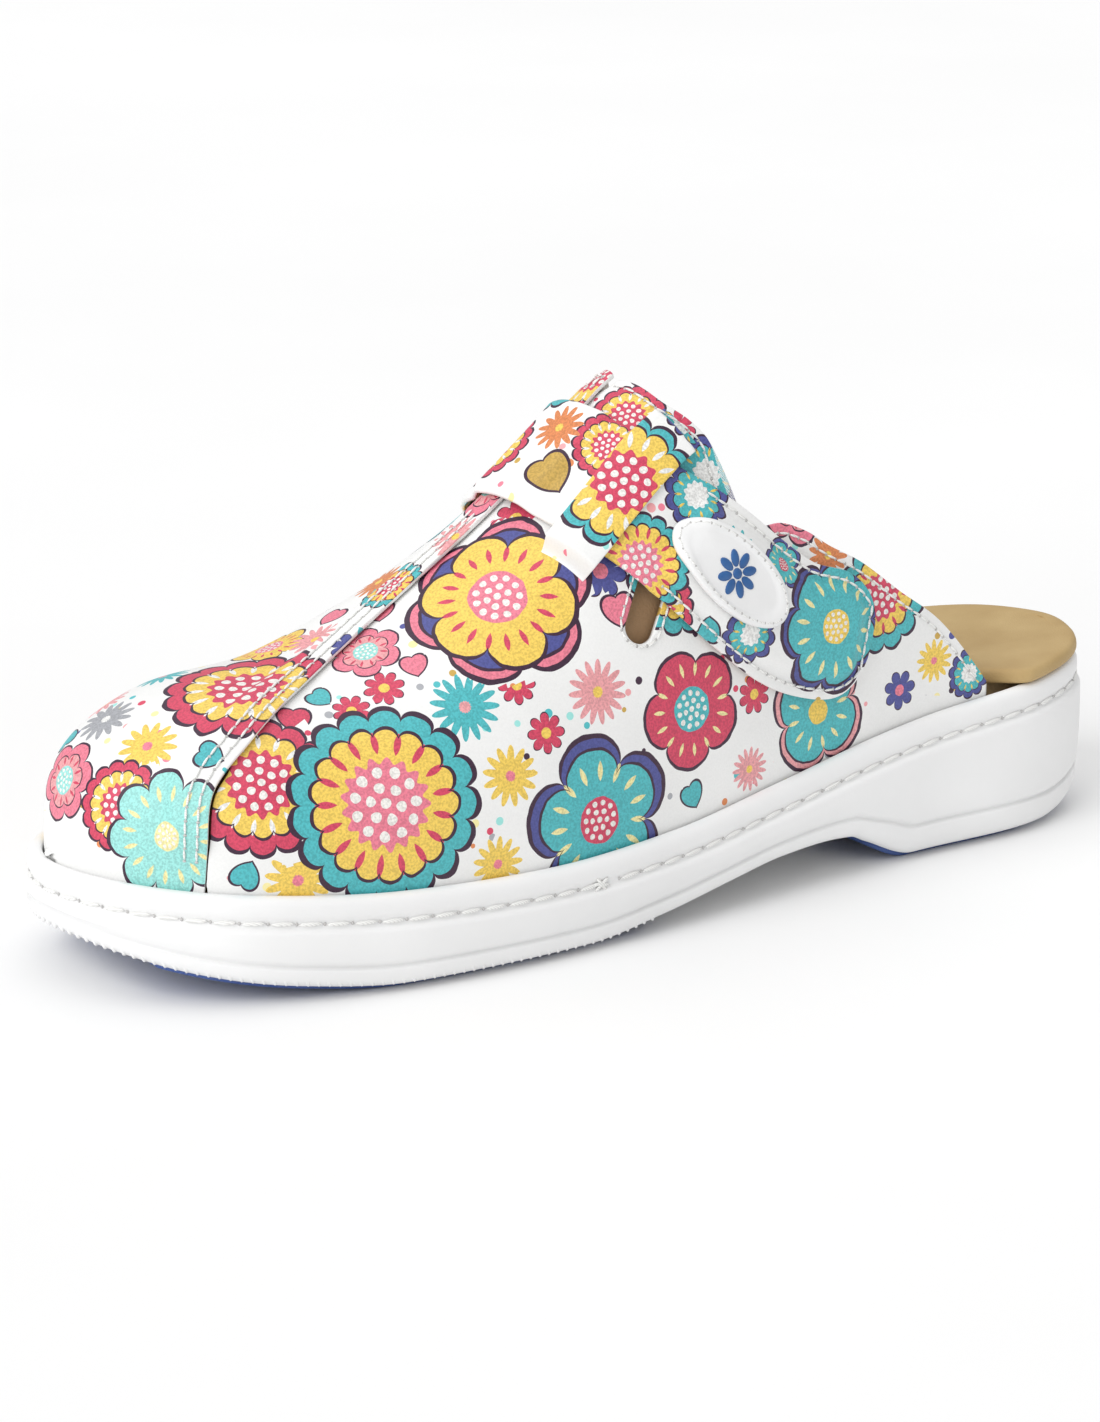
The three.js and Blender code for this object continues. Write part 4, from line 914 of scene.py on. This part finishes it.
# %% Inks and kinds of flower
INKS = {
    "white": (0.93, 0.93, 0.91), "teal": (0.09, 0.53, 0.57), "yellow": (0.97, 0.68, 0.13),
    "red": (0.72, 0.07, 0.14), "pink": (0.90, 0.24, 0.33), "blush": (0.90, 0.40, 0.42),
    "navy": (0.09, 0.10, 0.34), "gold": (0.62, 0.40, 0.09), "orange": (0.78, 0.27, 0.10),
    "aqua": (0.36, 0.80, 0.75), "cream": (0.96, 0.86, 0.42), "grey": (0.42, 0.43, 0.46),
    "line": (0.055, 0.022, 0.05),
}
INK_NAMES = list(INKS)
SPIKED, HEART = 1.0, 2.0
# petals, depth between petals, form; outer ink, ring ink, middle ink; ring and middle radius, dots in the
# middle; strokes round the ring, their ink and radius
FLOWERS = {
    "rosette": (17, .13, 0, "teal", "yellow", "pink", .76, .42, 1, 17, "red", .60),
    "sunflower": (6, .30, 0, "yellow", "yellow", "pink", .0, .36, 1, 18, "red", .62),
    "back_petals": (6, .26, 0, "pink", "navy", "navy", .84, .0, 0, 6, "teal", .9),
    "lace": (15, .14, 0, "red", "yellow", "red", .74, .44, 1, 15, "white", .60),
    "navy_five": (5, .34, 0, "navy", "teal", "red", .82, .27, 1, 15, "cream", .56),
    "red_five": (5, .26, 0, "red", "red", "teal", .0, .36, 1, 15, "cream", .66),
    "heart_petals": (4, .30, 0, "blush", "teal", "yellow", .84, .20, 0, 12, "cream", .52),
    "garden": (13, .16, 0, "teal", "yellow", "red", .70, .40, 1, 13, "red", .56),
    "aqua_leaf": (8, .28, 0, "aqua", "aqua", "cream", .0, .22, 1, 16, "cream", .62),
    "pink_five": (6, .28, 0, "pink", "blush", "aqua", .66, .34, 1, 12, "red", .5),
    "keeper_flower": (13, .17, 0, "teal", "yellow", "red", .82, .42, 1, 17, "white", .60),
    "tab_flower": (7, .20, 0, "navy", "teal", "yellow", .86, .24, 1, 14, "cream", .60),
    "navy_lace": (11, .2, 0, "navy", "teal", "white", .74, .36, 0, 11, "yellow", .56),
    "red_floret": (8, .52, 0, "red", "red", "yellow", .0, .26, 0, 0, "teal", .5),
    "navy_floret": (7, .5, 0, "navy", "navy", "pink", .0, .28, 0, 0, "teal", .5),
}
for points, ink, middle in ((15, "teal", "blush"), (15, "blush", "yellow"), (13, "yellow", "pink"),
                            (13, "orange", "yellow"), (13, "grey", "white")):
    label = "pink_star" if ink == "blush" else ink + "_star"
    FLOWERS[label] = (points, .44, SPIKED, ink, ink, middle, .0, .17, 0, 0, "teal", .5)
for ink in ("pink", "teal", "red", "gold"):
    FLOWERS[ink + "_heart"] = (1, 0, HEART, ink, ink, ink, .0, .0, 0, 0, "teal", .5)

# %% Where the flowers fall on each piece
# station, degrees, radius in mm, turn in degrees, kind; the first in a list lies on top
QUARTER_PRINT = [
    (60, 23, 21.5, 10, "rosette"), (97, 63, 17.5, 8, "sunflower"), (97, 63, 20.5, 38, "back_petals"),
    (36, 35, 15.5, 0, "lace"), (110, 5, 19, 20, "navy_five"), (136, 15, 13.5, 30, "red_five"),
    (172, 6, 14, 45, "heart_petals"), (191, 17, 13, 0, "garden"), (82, 41, 7.5, 0, "teal_star"),
    (112, 27, 7, 10, "pink_star"), (40, 3, 7, 5, "yellow_star"), (84, 2, 6, 0, "yellow_star"),
    (206, 6, 5, 0, "yellow_star"), (94, 39, 4.3, 20, "red_floret"), (60, 56, 4.2, 0, "red_floret"),
    (76, 60, 3.6, -20, "pink_heart"), (56, 65, 3.4, 25, "teal_heart"), (48, 58, 4.4, -15, "red_heart"),
    (120, 38, 4.6, -25, "pink_heart"), (70, 75, 8, 0, "pink_five"), (196, 4, 4.6, 0, "navy_floret"),
    (216, 3, 6, 0, "navy_lace"), (147, 49, 9, 0, "navy_lace"), (163, 24, 9, 0, "garden"),
    (152, 3, 5, 0, "pink_star"), (124, 62, 7, 0, "teal_star"), (108, 80, 6, 0, "red_floret"),
    (143, 62, 4.4, 0, "red_floret"), (134, 74, 9, 0, "lace"), (118, 48, 6, 0, "navy_floret"),
]
VAMP_PRINT = [
    (44, 78, 18, 0, "lace"), (18, 19, 14, 0, "aqua_leaf"), (12, 38, 10, 15, "lace"),
    (8, 88, 9, 0, "pink_five"),
    (19, 95, 6.5, 0, "grey_star"), (20, 65, 6.5, 0, "yellow_star"), (86, 104, 6, 0, "orange_star"),
    (84, 91, 8, 20, "garden"), (99, 90, 6, 0, "pink_star"), (137, 97, 12, 0, "lace"),
    (66, 92, 6, 0, "pink_star"), (60, 104, 9, 0, "sunflower"), (36, 108, 6, 0, "teal_star"),
]
STRAP_PRINT = [
    (124, 86, 6, 0, "orange_star"), (117, 77, 6, -25, "gold_heart"), (118, 104, 10, 0, "lace"),
    (126, 43, 11.5, 0, "rosette"), (128, 33, 9, 0, "lace"), (142, 47, 8, 0, "navy_lace"),
    (174, 17, 16, 10, "tab_flower"), (161, 29, 6, 0, "navy_five"), (150, 22, 7, 0, "navy_lace"),
    (128, 70, 8, 0, "lace"), (135, 130, 11, 0, "sunflower"), (146, 148, 9, 0, "teal_star"),
    (124, 120, 6, 0, "pink_star"),
]
KEEPER_PRINT = [(127.5, 59.5, 16, 0, "keeper_flower"), (145, 62, 7, 0, "navy_lace")]
SCATTER = [
    (17, "rosette"), (16, "sunflower"), (14, "navy_five"), (13, "red_five"), (12, "garden"), (11, "lace"),
    (10, "pink_five"), (9, "heart_petals"), (7, "teal_star"), (6.5, "yellow_star"), (6, "pink_star"),
    (5.5, "orange_star"), (4.5, "red_floret"), (4.4, "navy_floret"), (4, "pink_heart"), (3.8, "teal_heart"),
]
ELBOW_ROOM = 0.93        # neighbours may overlap a little, since no flower is a full disc


def scattered(chosen, from_x, to_x, from_degrees, to_degrees, seed, tries=130):
    """Fills the rest of a piece with flowers that keep clear of those already placed."""
    draw = random.Random(seed)
    kept = [(last(x, d), r) for x, d, r, _, _ in chosen]
    made = list(chosen)
    for radius, kind in SCATTER:
        for _ in range(tries):
            x, degrees = draw.uniform(from_x, to_x), draw.uniform(from_degrees, to_degrees)
            place = last(x, degrees)
            if all(np.linalg.norm(place - p) > ELBOW_ROOM * (radius + r) for p, r in kept):
                kept.append((place, radius))
                made.append((x, degrees, radius, draw.uniform(0, 360), kind))
    return made


# %% Stamp the flowers
AWAY = 9.0               # flat coordinates that lie outside every flower


def read(members, what, width=3, kind=float):
    values = np.empty(len(members) * width, kind)
    members.foreach_get(what, values)
    return values.reshape(-1, width) if width > 1 else values


def stamp(piece, flowers):
    """Gives each face the two flowers that lie over it: UV maps flower_0 and flower_1 and their numbers."""
    mesh = piece.data
    count = len(mesh.polygons)
    middle = read(mesh.polygons, "center") * 1000 - SHIFT
    facing = read(mesh.polygons, "normal")
    corner = read(mesh.loops, "vertex_index", 1, int)
    face_of_corner = np.repeat(np.arange(count), [p.loop_total for p in mesh.polygons])
    corner_places = (read(mesh.vertices, "co") * 1000 - SHIFT)[corner]

    x, degrees, radius, turn = (np.array([f[i] for f in flowers], float) for i in range(4))
    centres = skin(x, degrees, 0.5)
    along, around = slopes(x, degrees)
    outward = unit(np.cross(along, around))
    ahead = unit(along)
    aside = np.cross(outward, ahead)
    c, s = np.cos(np.radians(turn))[:, None], np.sin(np.radians(turn))[:, None]
    ahead, aside = ahead * c + aside * s, aside * c - ahead * s

    over = np.empty((count, len(flowers)))
    for k in range(len(flowers)):
        below = middle - centres[k]
        height = below @ outward[k]
        beside = np.linalg.norm(below - height[:, None] * outward[k], axis=1)
        close = (beside < 0.5 * radius[k]) & (facing @ outward[k] > 0.5) & (np.abs(height) < 9)
        if close.any():
            centres[k] += np.median(height[close]) * outward[k]
        gap = np.linalg.norm(middle - centres[k], axis=1) / radius[k]
        over[:, k] = np.where((gap < 1.15) & (facing @ outward[k] > 0.1), k, 9e3)
    first = over.argsort(axis=1, kind="stable")[:, :2]
    for layer in range(2):
        chosen = first[:, layer]
        empty = np.take_along_axis(over, chosen[:, None], 1)[:, 0] > 1e3
        mine = chosen[face_of_corner]
        off = corner_places - centres[mine]
        u, v = (off * ahead[mine]).sum(1), (off * aside[mine]).sum(1)
        flat = np.maximum(np.hypot(u, v), 1e-6)
        scale = np.linalg.norm(off, axis=1) / flat / radius[mine]
        uv = np.column_stack([u * scale, v * scale])
        uv[empty[face_of_corner]] = AWAY
        mesh.uv_layers.new(name=f"flower_{layer}").data.foreach_set("uv", uv.ravel())
        kinds = [FLOWERS[flowers[k][4]] for k in range(len(flowers))]
        ink = lambda name: INK_NAMES.index(name)
        numbers = {
            "form": [(k[0], k[1], k[2]) for k in kinds],
            "inks": [(ink(k[3]), ink(k[4]), ink(k[5])) for k in kinds],
            "rings": [(k[6], k[7], k[8]) for k in kinds],
            "strokes": [(k[9], ink(k[10]), k[11]) for k in kinds],
        }
        for label, rows in numbers.items():
            values = np.array(rows, np.float32)[chosen]
            attribute = mesh.attributes.new(f"{label}_{layer}", "FLOAT_VECTOR", "FACE")
            attribute.data.foreach_set("vector", values.ravel())
    print(piece.name, "carries", len(flowers), "flowers")


stamp(quarter, scattered(QUARTER_PRINT, 28, 218, 2, 88, seed=3))
stamp(vamp, scattered(VAMP_PRINT, 8, 218, 8, 178, seed=5))
strap_flowers = scattered(STRAP_PRINT, 118, 186, 12, 155, seed=7)
stamp(strap, strap_flowers)
stamp(tab, strap_flowers)
stamp(keeper, KEEPER_PRINT)

# %% [markdown]
# ## Materials
# Every finish is drawn by nodes. A little class lets the sums inside a material be written as sums, which
# keeps the flower's rules readable: petals are waves round a circle, strokes are thin leaves between two
# radii, and dots sit on circles.

# %% Sums inside a material
class Sum:
    """A number inside a material; arithmetic with it adds Math nodes."""

    def __init__(self, tree, socket):
        self.tree, self.socket = tree, socket

    def math(self, operation, *others):
        node = self.tree.nodes.new("ShaderNodeMath")
        node.operation = operation
        for place, value in enumerate((self, *others)):
            if isinstance(value, Sum):
                self.tree.links.new(value.socket, node.inputs[place])
            else:
                node.inputs[place].default_value = float(value)
        return Sum(self.tree, node.outputs[0])

    def __add__(self, other):
        return self.math("ADD", other)

    def __sub__(self, other):
        return self.math("SUBTRACT", other)

    def __mul__(self, other):
        return self.math("MULTIPLY", other)

    def __truediv__(self, other):
        return self.math("DIVIDE", other)

    def below(self, other):
        return self.math("LESS_THAN", other)

    def above(self, other):
        return self.math("GREATER_THAN", other)

    def flipped(self):
        return self * -1 + 1


def new_material(name, roughness, specular=0.5):
    material = bpy.data.materials.new(name)
    material.use_nodes = True
    tree = material.node_tree
    shader = tree.nodes["Principled BSDF"]
    shader.inputs["Roughness"].default_value = roughness
    shader.inputs["Specular IOR Level"].default_value = specular
    return material, tree, shader


def node(tree, kind, inputs=None, **settings):
    made = tree.nodes.new(kind)
    for key, value in settings.items():
        setattr(made, key, value)
    for key, value in (inputs or {}).items():
        if hasattr(value, "is_linked"):
            tree.links.new(value, made.inputs[key])
        elif isinstance(value, Sum):
            tree.links.new(value.socket, made.inputs[key])
        else:
            made.inputs[key].default_value = value
    return made


def ramp(tree, fac, stops, constant=False):
    made = node(tree, "ShaderNodeValToRGB", {"Fac": fac})
    elements = made.color_ramp.elements
    made.color_ramp.interpolation = "CONSTANT" if constant else "LINEAR"
    while len(elements) > 1:
        elements.remove(elements[0])
    for i, (position, colour) in enumerate(stops):
        stop = elements[0] if i == 0 else elements.new(position)
        stop.position = position
        stop.color = (*colour, 1)
    return made.outputs["Color"]


def mixed(tree, fac, below, above):
    made = node(tree, "ShaderNodeMix", {"Factor": fac}, data_type="RGBA")
    for value, place in ((below, 6), (above, 7)):
        if hasattr(value, "is_linked"):
            tree.links.new(value, made.inputs[place])
        else:
            made.inputs[place].default_value = (*value, 1)
    return made.outputs[2]


def object_place(tree):
    return node(tree, "ShaderNodeTexCoord").outputs["Object"]


def noise(tree, place, scale, detail):
    inputs = {"Vector": place, "Scale": scale, "Detail": detail}
    return node(tree, "ShaderNodeTexNoise", inputs).outputs["Fac"]


def pores_at(tree, place, scale):
    inputs = {"Vector": place, "Scale": scale}
    cells = node(tree, "ShaderNodeTexVoronoi", inputs, feature="DISTANCE_TO_EDGE")
    return Sum(tree, cells.outputs["Distance"])


def bumped(tree, shader, height, strength, distance):
    made = node(tree, "ShaderNodeBump", {"Height": height, "Strength": strength, "Distance": distance})
    tree.links.new(made.outputs["Normal"], shader.inputs["Normal"])


# %% The flower drawn by sums
INK_STEPS = 16


def ink_colour(tree, index):
    stops = [(i / INK_STEPS, INKS[name]) for i, name in enumerate(INK_NAMES)]
    return ramp(tree, (index + 0.5) * (1 / INK_STEPS), stops, constant=True)


def split(tree, name):
    stored = node(tree, "ShaderNodeAttribute", attribute_name=name, attribute_type="GEOMETRY")
    parts = node(tree, "ShaderNodeSeparateXYZ", {"Vector": stored.outputs["Vector"]}).outputs
    return [Sum(tree, parts[i]) for i in range(3)]


def drawn_flower(tree, layer):
    """Colour of the flower in one layer, and where it covers the leather."""
    uv = node(tree, "ShaderNodeUVMap", uv_map=f"flower_{layer}").outputs["UV"]
    wobble = noise(tree, uv, 5.0, 1.0)
    parts = node(tree, "ShaderNodeSeparateXYZ", {"Vector": uv}).outputs
    u, v = Sum(tree, parts[0]), Sum(tree, parts[1])
    petals, depth, form = split(tree, f"form_{layer}")
    outer_ink, ring_ink, middle_ink = split(tree, f"inks_{layer}")
    ring, middle, dotted = split(tree, f"rings_{layer}")
    strokes, stroke_ink, stroke_radius = split(tree, f"strokes_{layer}")
    spiked, heart = form.above(0.5), form.above(1.5)

    r = (u * u + v * v).math("SQRT") + (Sum(tree, wobble) - 0.5) * 0.05
    angle = v.math("ARCTAN2", u)
    wave = (petals * angle * 0.5).math("COSINE").math("ABSOLUTE")
    lobe = wave.math("POWER", spiked * 0.75 + 0.5)
    edge = (lobe.flipped() * depth).flipped()
    q = r / edge
    flower = q.below(1.0) * heart.flipped()
    outline = q.above(spiked * 0.1 + 0.94)
    in_ring = q.below(ring)
    ring_line = (q - ring).math("ABSOLUTE").below(0.018) * ring.above(0.1)
    in_middle = r.below(middle * ((petals * angle).math("COSINE") * petals.above(9.5) * 0.09 + 1.0))

    around = (strokes * angle * (1 / (2 * math.pi))).math("FRACT") - 0.5
    aside = around.math("ABSOLUTE") * r * (2 * math.pi) / strokes.math("MAXIMUM", 1.0)
    from_middle = (r - stroke_radius) / 0.12
    leaf = aside.below((from_middle * from_middle).flipped() * 0.035) * strokes.above(0.5)

    def dots(count, share, size):
        spot = (angle * (count / (2 * math.pi))).math("FRACT") - 0.5
        sideways = spot * middle * (share * 2 * math.pi / count)
        outwards = r - middle * share
        return (sideways * sideways + outwards * outwards).below(middle * middle * (size * size))

    two_circles = dots(11, 0.74, 0.125).math("MAXIMUM", dots(6, 0.38, 0.125))
    spots = two_circles.math("MAXIMUM", r.below(middle * 0.13)) * dotted

    def heart_of(size):
        wide, high = u * (1.3 / size), v * (1.3 / size) + 0.1
        body = wide * wide + high * high - 1
        return (body * body * body - wide * wide * high * high * high).below(0.0) * heart

    in_heart = heart_of(1.0)
    heart_line = in_heart - heart_of(0.86)

    colour = ink_colour(tree, outer_ink)
    colour = mixed(tree, in_ring, colour, ink_colour(tree, ring_ink))
    colour = mixed(tree, leaf, colour, ink_colour(tree, stroke_ink))
    colour = mixed(tree, in_middle, colour, ink_colour(tree, middle_ink))
    colour = mixed(tree, spots, colour, (0.95, 0.93, 0.88))
    lines = (outline * spiked.flipped() * heart.flipped()).math("MAXIMUM", ring_line)
    colour = mixed(tree, lines.math("MAXIMUM", heart_line), colour, INKS["line"])
    return colour, flower.math("MAXIMUM", in_heart)


# %% Printed leather
def printed_leather():
    material, tree, shader = new_material("printed_leather", 0.42, 0.45)
    place = object_place(tree)
    patch = noise(tree, place, 35.0, 2.0)
    leather = ramp(tree, patch, [(0.3, (0.86, 0.86, 0.85)), (0.7, (0.93, 0.93, 0.92))])
    cells = node(tree, "ShaderNodeTexVoronoi", {"Vector": place, "Scale": 270.0, "Randomness": 1.0})
    clusters = noise(tree, place, 42.0, 0.0)
    tint = node(tree, "ShaderNodeSeparateXYZ", {"Vector": cells.outputs["Color"]}).outputs
    speck_size = Sum(tree, tint[1]) * 0.10 + 0.19
    speck = Sum(tree, cells.outputs["Distance"]).below(speck_size) * Sum(tree, tint[0]).above(0.45)
    speck = speck * Sum(tree, clusters).above(0.44)
    colour = mixed(tree, speck, leather, ink_colour(tree, Sum(tree, tint[2]) * 11.9 + 0.6))
    flowers = [drawn_flower(tree, layer) for layer in (1, 0)]
    for flower, cover in flowers:
        colour = mixed(tree, cover, colour, flower)
    inked = flowers[0][1].math("MAXIMUM", flowers[1][1]) * 0.85 + 0.1
    # painted glint: the sparkle of the metallic ink is painted as fine speckles that darken the colour,
    # mostly where there is ink; the same noise also sets the roughness
    glint = noise(tree, place, 2000.0, 1.0)
    shade = ramp(tree, glint, [(0.36, (0.74, 0.74, 0.74)), (0.62, (1, 1, 1))])
    printed = node(tree, "ShaderNodeMix", {"Factor": inked}, data_type="RGBA", blend_type="MULTIPLY")
    tree.links.new(colour, printed.inputs[6])
    tree.links.new(shade, printed.inputs[7])
    tree.links.new(printed.outputs[2], shader.inputs["Base Color"])
    gloss = node(tree, "ShaderNodeMapRange", {"Value": glint, "To Min": 0.36, "To Max": 0.52}).outputs[0]
    tree.links.new(gloss, shader.inputs["Roughness"])
    grain = pores_at(tree, place, 1150.0).math("MINIMUM", 0.25) + Sum(tree, patch) * 0.5
    bumped(tree, shader, grain.socket, 0.22, 0.00025)
    return material


# %% Rubber, thread, lining and the rest
def speckled(name, dark, light, scale, roughness, specular=0.5, bump=0.2, fine=None):
    """A finish whose colour and height wander with noise, from a dark to a light tone."""
    material, tree, shader = new_material(name, roughness, specular)
    place = object_place(tree)
    wander = noise(tree, place, scale, 4.0)
    tree.links.new(ramp(tree, wander, [(0.3, dark), (0.7, light)]), shader.inputs["Base Color"])
    close = noise(tree, place, fine or scale * 12, 3.0)
    limits = {"Value": close, "To Min": roughness - 0.06, "To Max": roughness + 0.08}
    tree.links.new(node(tree, "ShaderNodeMapRange", limits).outputs[0], shader.inputs["Roughness"])
    bumped(tree, shader, close, bump, 0.0002)
    return material


def leather_like(name, dark, light, roughness, pore_scale, bump):
    """Plain leather: wandering colour, and pores between raised cells."""
    material, tree, shader = new_material(name, roughness, 0.35)
    place = object_place(tree)
    wander = noise(tree, place, 60.0, 5.0)
    tree.links.new(ramp(tree, wander, [(0.3, dark), (0.7, light)]), shader.inputs["Base Color"])
    raised = pores_at(tree, place, pore_scale).math("MINIMUM", 0.3) + Sum(tree, wander) * 0.4
    bumped(tree, shader, raised.socket, bump, 0.0004)
    return material


def twisted_thread():
    material, tree, shader = new_material("white_thread", 0.7, 0.3)
    place = object_place(tree)
    strands = node(tree, "ShaderNodeTexWave", {"Vector": place, "Scale": 900.0, "Distortion": 1.5},
                   bands_direction="DIAGONAL")
    # painted shade: the thread is darker in the grooves between its twisted strands, where the same waves
    # make the bump low
    tone = ramp(tree, strands.outputs["Fac"], [(0.0, (0.74, 0.74, 0.72)), (0.6, (0.92, 0.92, 0.90))])
    tree.links.new(tone, shader.inputs["Base Color"])
    bumped(tree, shader, strands.outputs["Fac"], 0.4, 0.0001)
    return material


printed = printed_leather()
grey = lambda tone: (tone, tone, tone)
white_sole = speckled("white_sole", grey(0.86), grey(0.92), 30.0, 0.45, 0.4, bump=0.12, fine=1500.0)
blue_tread = speckled("blue_tread", (0.045, 0.085, 0.27), (0.075, 0.13, 0.36), 60.0, 0.62, 0.4,
                      bump=0.3, fine=1800.0)
tan_leather = leather_like("footbed_leather", (0.46, 0.31, 0.13), (0.57, 0.41, 0.19), 0.6, 1300.0, 0.25)
brown_lining = leather_like("brown_lining", (0.27, 0.16, 0.08), (0.38, 0.24, 0.13), 0.75, 1000.0, 0.3)
white_rubber = speckled("white_rubber", grey(0.86), grey(0.93), 80.0, 0.35, 0.5, bump=0.05, fine=2500.0)
blue_rubber = speckled("blue_rubber", (0.02, 0.09, 0.27), (0.03, 0.13, 0.36), 200.0, 0.4, 0.5,
                       bump=0.1, fine=3000.0)
thread = twisted_thread()
# painted shade: the grey of the needle holes, which stands for the shade inside them
needle_hole_shade = speckled("needle_hole_shade", (0.52, 0.51, 0.50), (0.62, 0.61, 0.60), 500.0, 0.8, 0.2)
board = speckled("insole_board", (0.42, 0.32, 0.18), (0.56, 0.44, 0.27), 300.0, 0.9, 0.2,
                 bump=0.4, fine=1600.0)
foam = speckled("footbed_foam", (0.36, 0.26, 0.14), (0.48, 0.35, 0.2), 400.0, 0.95, 0.1,
                bump=0.5, fine=2200.0)
nap = speckled("fastener_nap", (0.62, 0.61, 0.58), (0.86, 0.85, 0.82), 1500.0, 0.95, 0.1,
               bump=0.9, fine=3200.0)
studio_floor = speckled("studio_floor", grey(0.90), grey(0.93), 3.0, 0.85, 0.1, bump=0.0)

PRINTED_PIECES = (quarter, vamp, strap, tab, keeper)
FINISHES = {
    printed: PRINTED_PIECES, white_sole: (sole, ribs), blue_tread: (front_pad, rear_pad),
    tan_leather: (footbed,), brown_lining: (outer_lining, inner_lining), white_rubber: (badge,),
    blue_rubber: (daisy,), thread: (knot,),
}
NODE_FINISHES = {
    "insole_board": board, "footbed_core": foam, "strap_lining": brown_lining, "tab_backing": brown_lining,
    "loop_patch": nap, "hook_patch": nap,
}
for finish, members in FINISHES.items():
    for piece in members:
        piece.data.materials.clear()
        piece.data.materials.append(finish)
for piece in bpy.data.objects:
    if "_stitches" in piece.name:
        piece.data.materials.append(needle_hole_shade if piece.name.endswith("_holes") else thread)
for name, finish in NODE_FINISHES.items():
    frame["nodes"][name].data.materials.clear()
    frame["nodes"][name].data.materials.append(finish)
print(len(bpy.data.materials), "materials")

# %% [markdown]
# ## Camera, floor and light
# The camera stands low at the outer front of the shoe with a long lens. The light is a soft studio on a plain
# pale floor: a white sky, a wide key from the toe that leaves the heel in gentle shade, and a wider, weaker
# light from above. Sun lamps keep their strength over any distance, so only their direction has to be chosen.

# %% Camera and studio
AZIMUTH, ELEVATION = math.radians(-32.7), math.radians(16.4)
AIM = Vector(to_frame([130.0, 0.0, 50.0]))
DISTANCE = 1.0
level = math.cos(ELEVATION)
back = Vector((math.sin(AZIMUTH) * level, -math.cos(AZIMUTH) * level, math.sin(ELEVATION)))
camera = bpy.data.objects.new("camera", bpy.data.cameras.new("camera"))
bpy.context.scene.collection.objects.link(camera)
camera.location = AIM + back * DISTANCE
camera.rotation_euler = (-back).to_track_quat("-Z", "Y").to_euler()
camera.data.lens = 115.7
camera.data.shift_x, camera.data.shift_y = -0.0195, -0.0361
bpy.context.scene.camera = camera

bm = bmesh.new()
bmesh.ops.create_grid(bm, x_segments=8, y_segments=8, size=3)
floor = finish_mesh("floor", bm)
floor.data.materials.append(studio_floor)


def soft_light(name, direction, spread, strength):
    lamp = bpy.data.lights.new(name, "SUN")
    lamp.angle, lamp.energy = math.radians(spread), strength
    holder = bpy.data.objects.new(name, lamp)
    bpy.context.scene.collection.objects.link(holder)
    holder.location = Vector(direction)
    holder.rotation_euler = (-Vector(direction)).to_track_quat("-Z", "Y").to_euler()


soft_light("key", (-1.1, -0.3, 0.75), 50, 1.6)
soft_light("top", (0.1, 0.2, 1.2), 70, 0.85)
world = bpy.data.worlds.new("studio")
bpy.context.scene.world = world
world.use_nodes = True
world.node_tree.nodes["Background"].inputs["Color"].default_value = (1, 1, 1, 1)
world.node_tree.nodes["Background"].inputs["Strength"].default_value = 0.55
bpy.context.scene.view_settings.view_transform = "Standard"
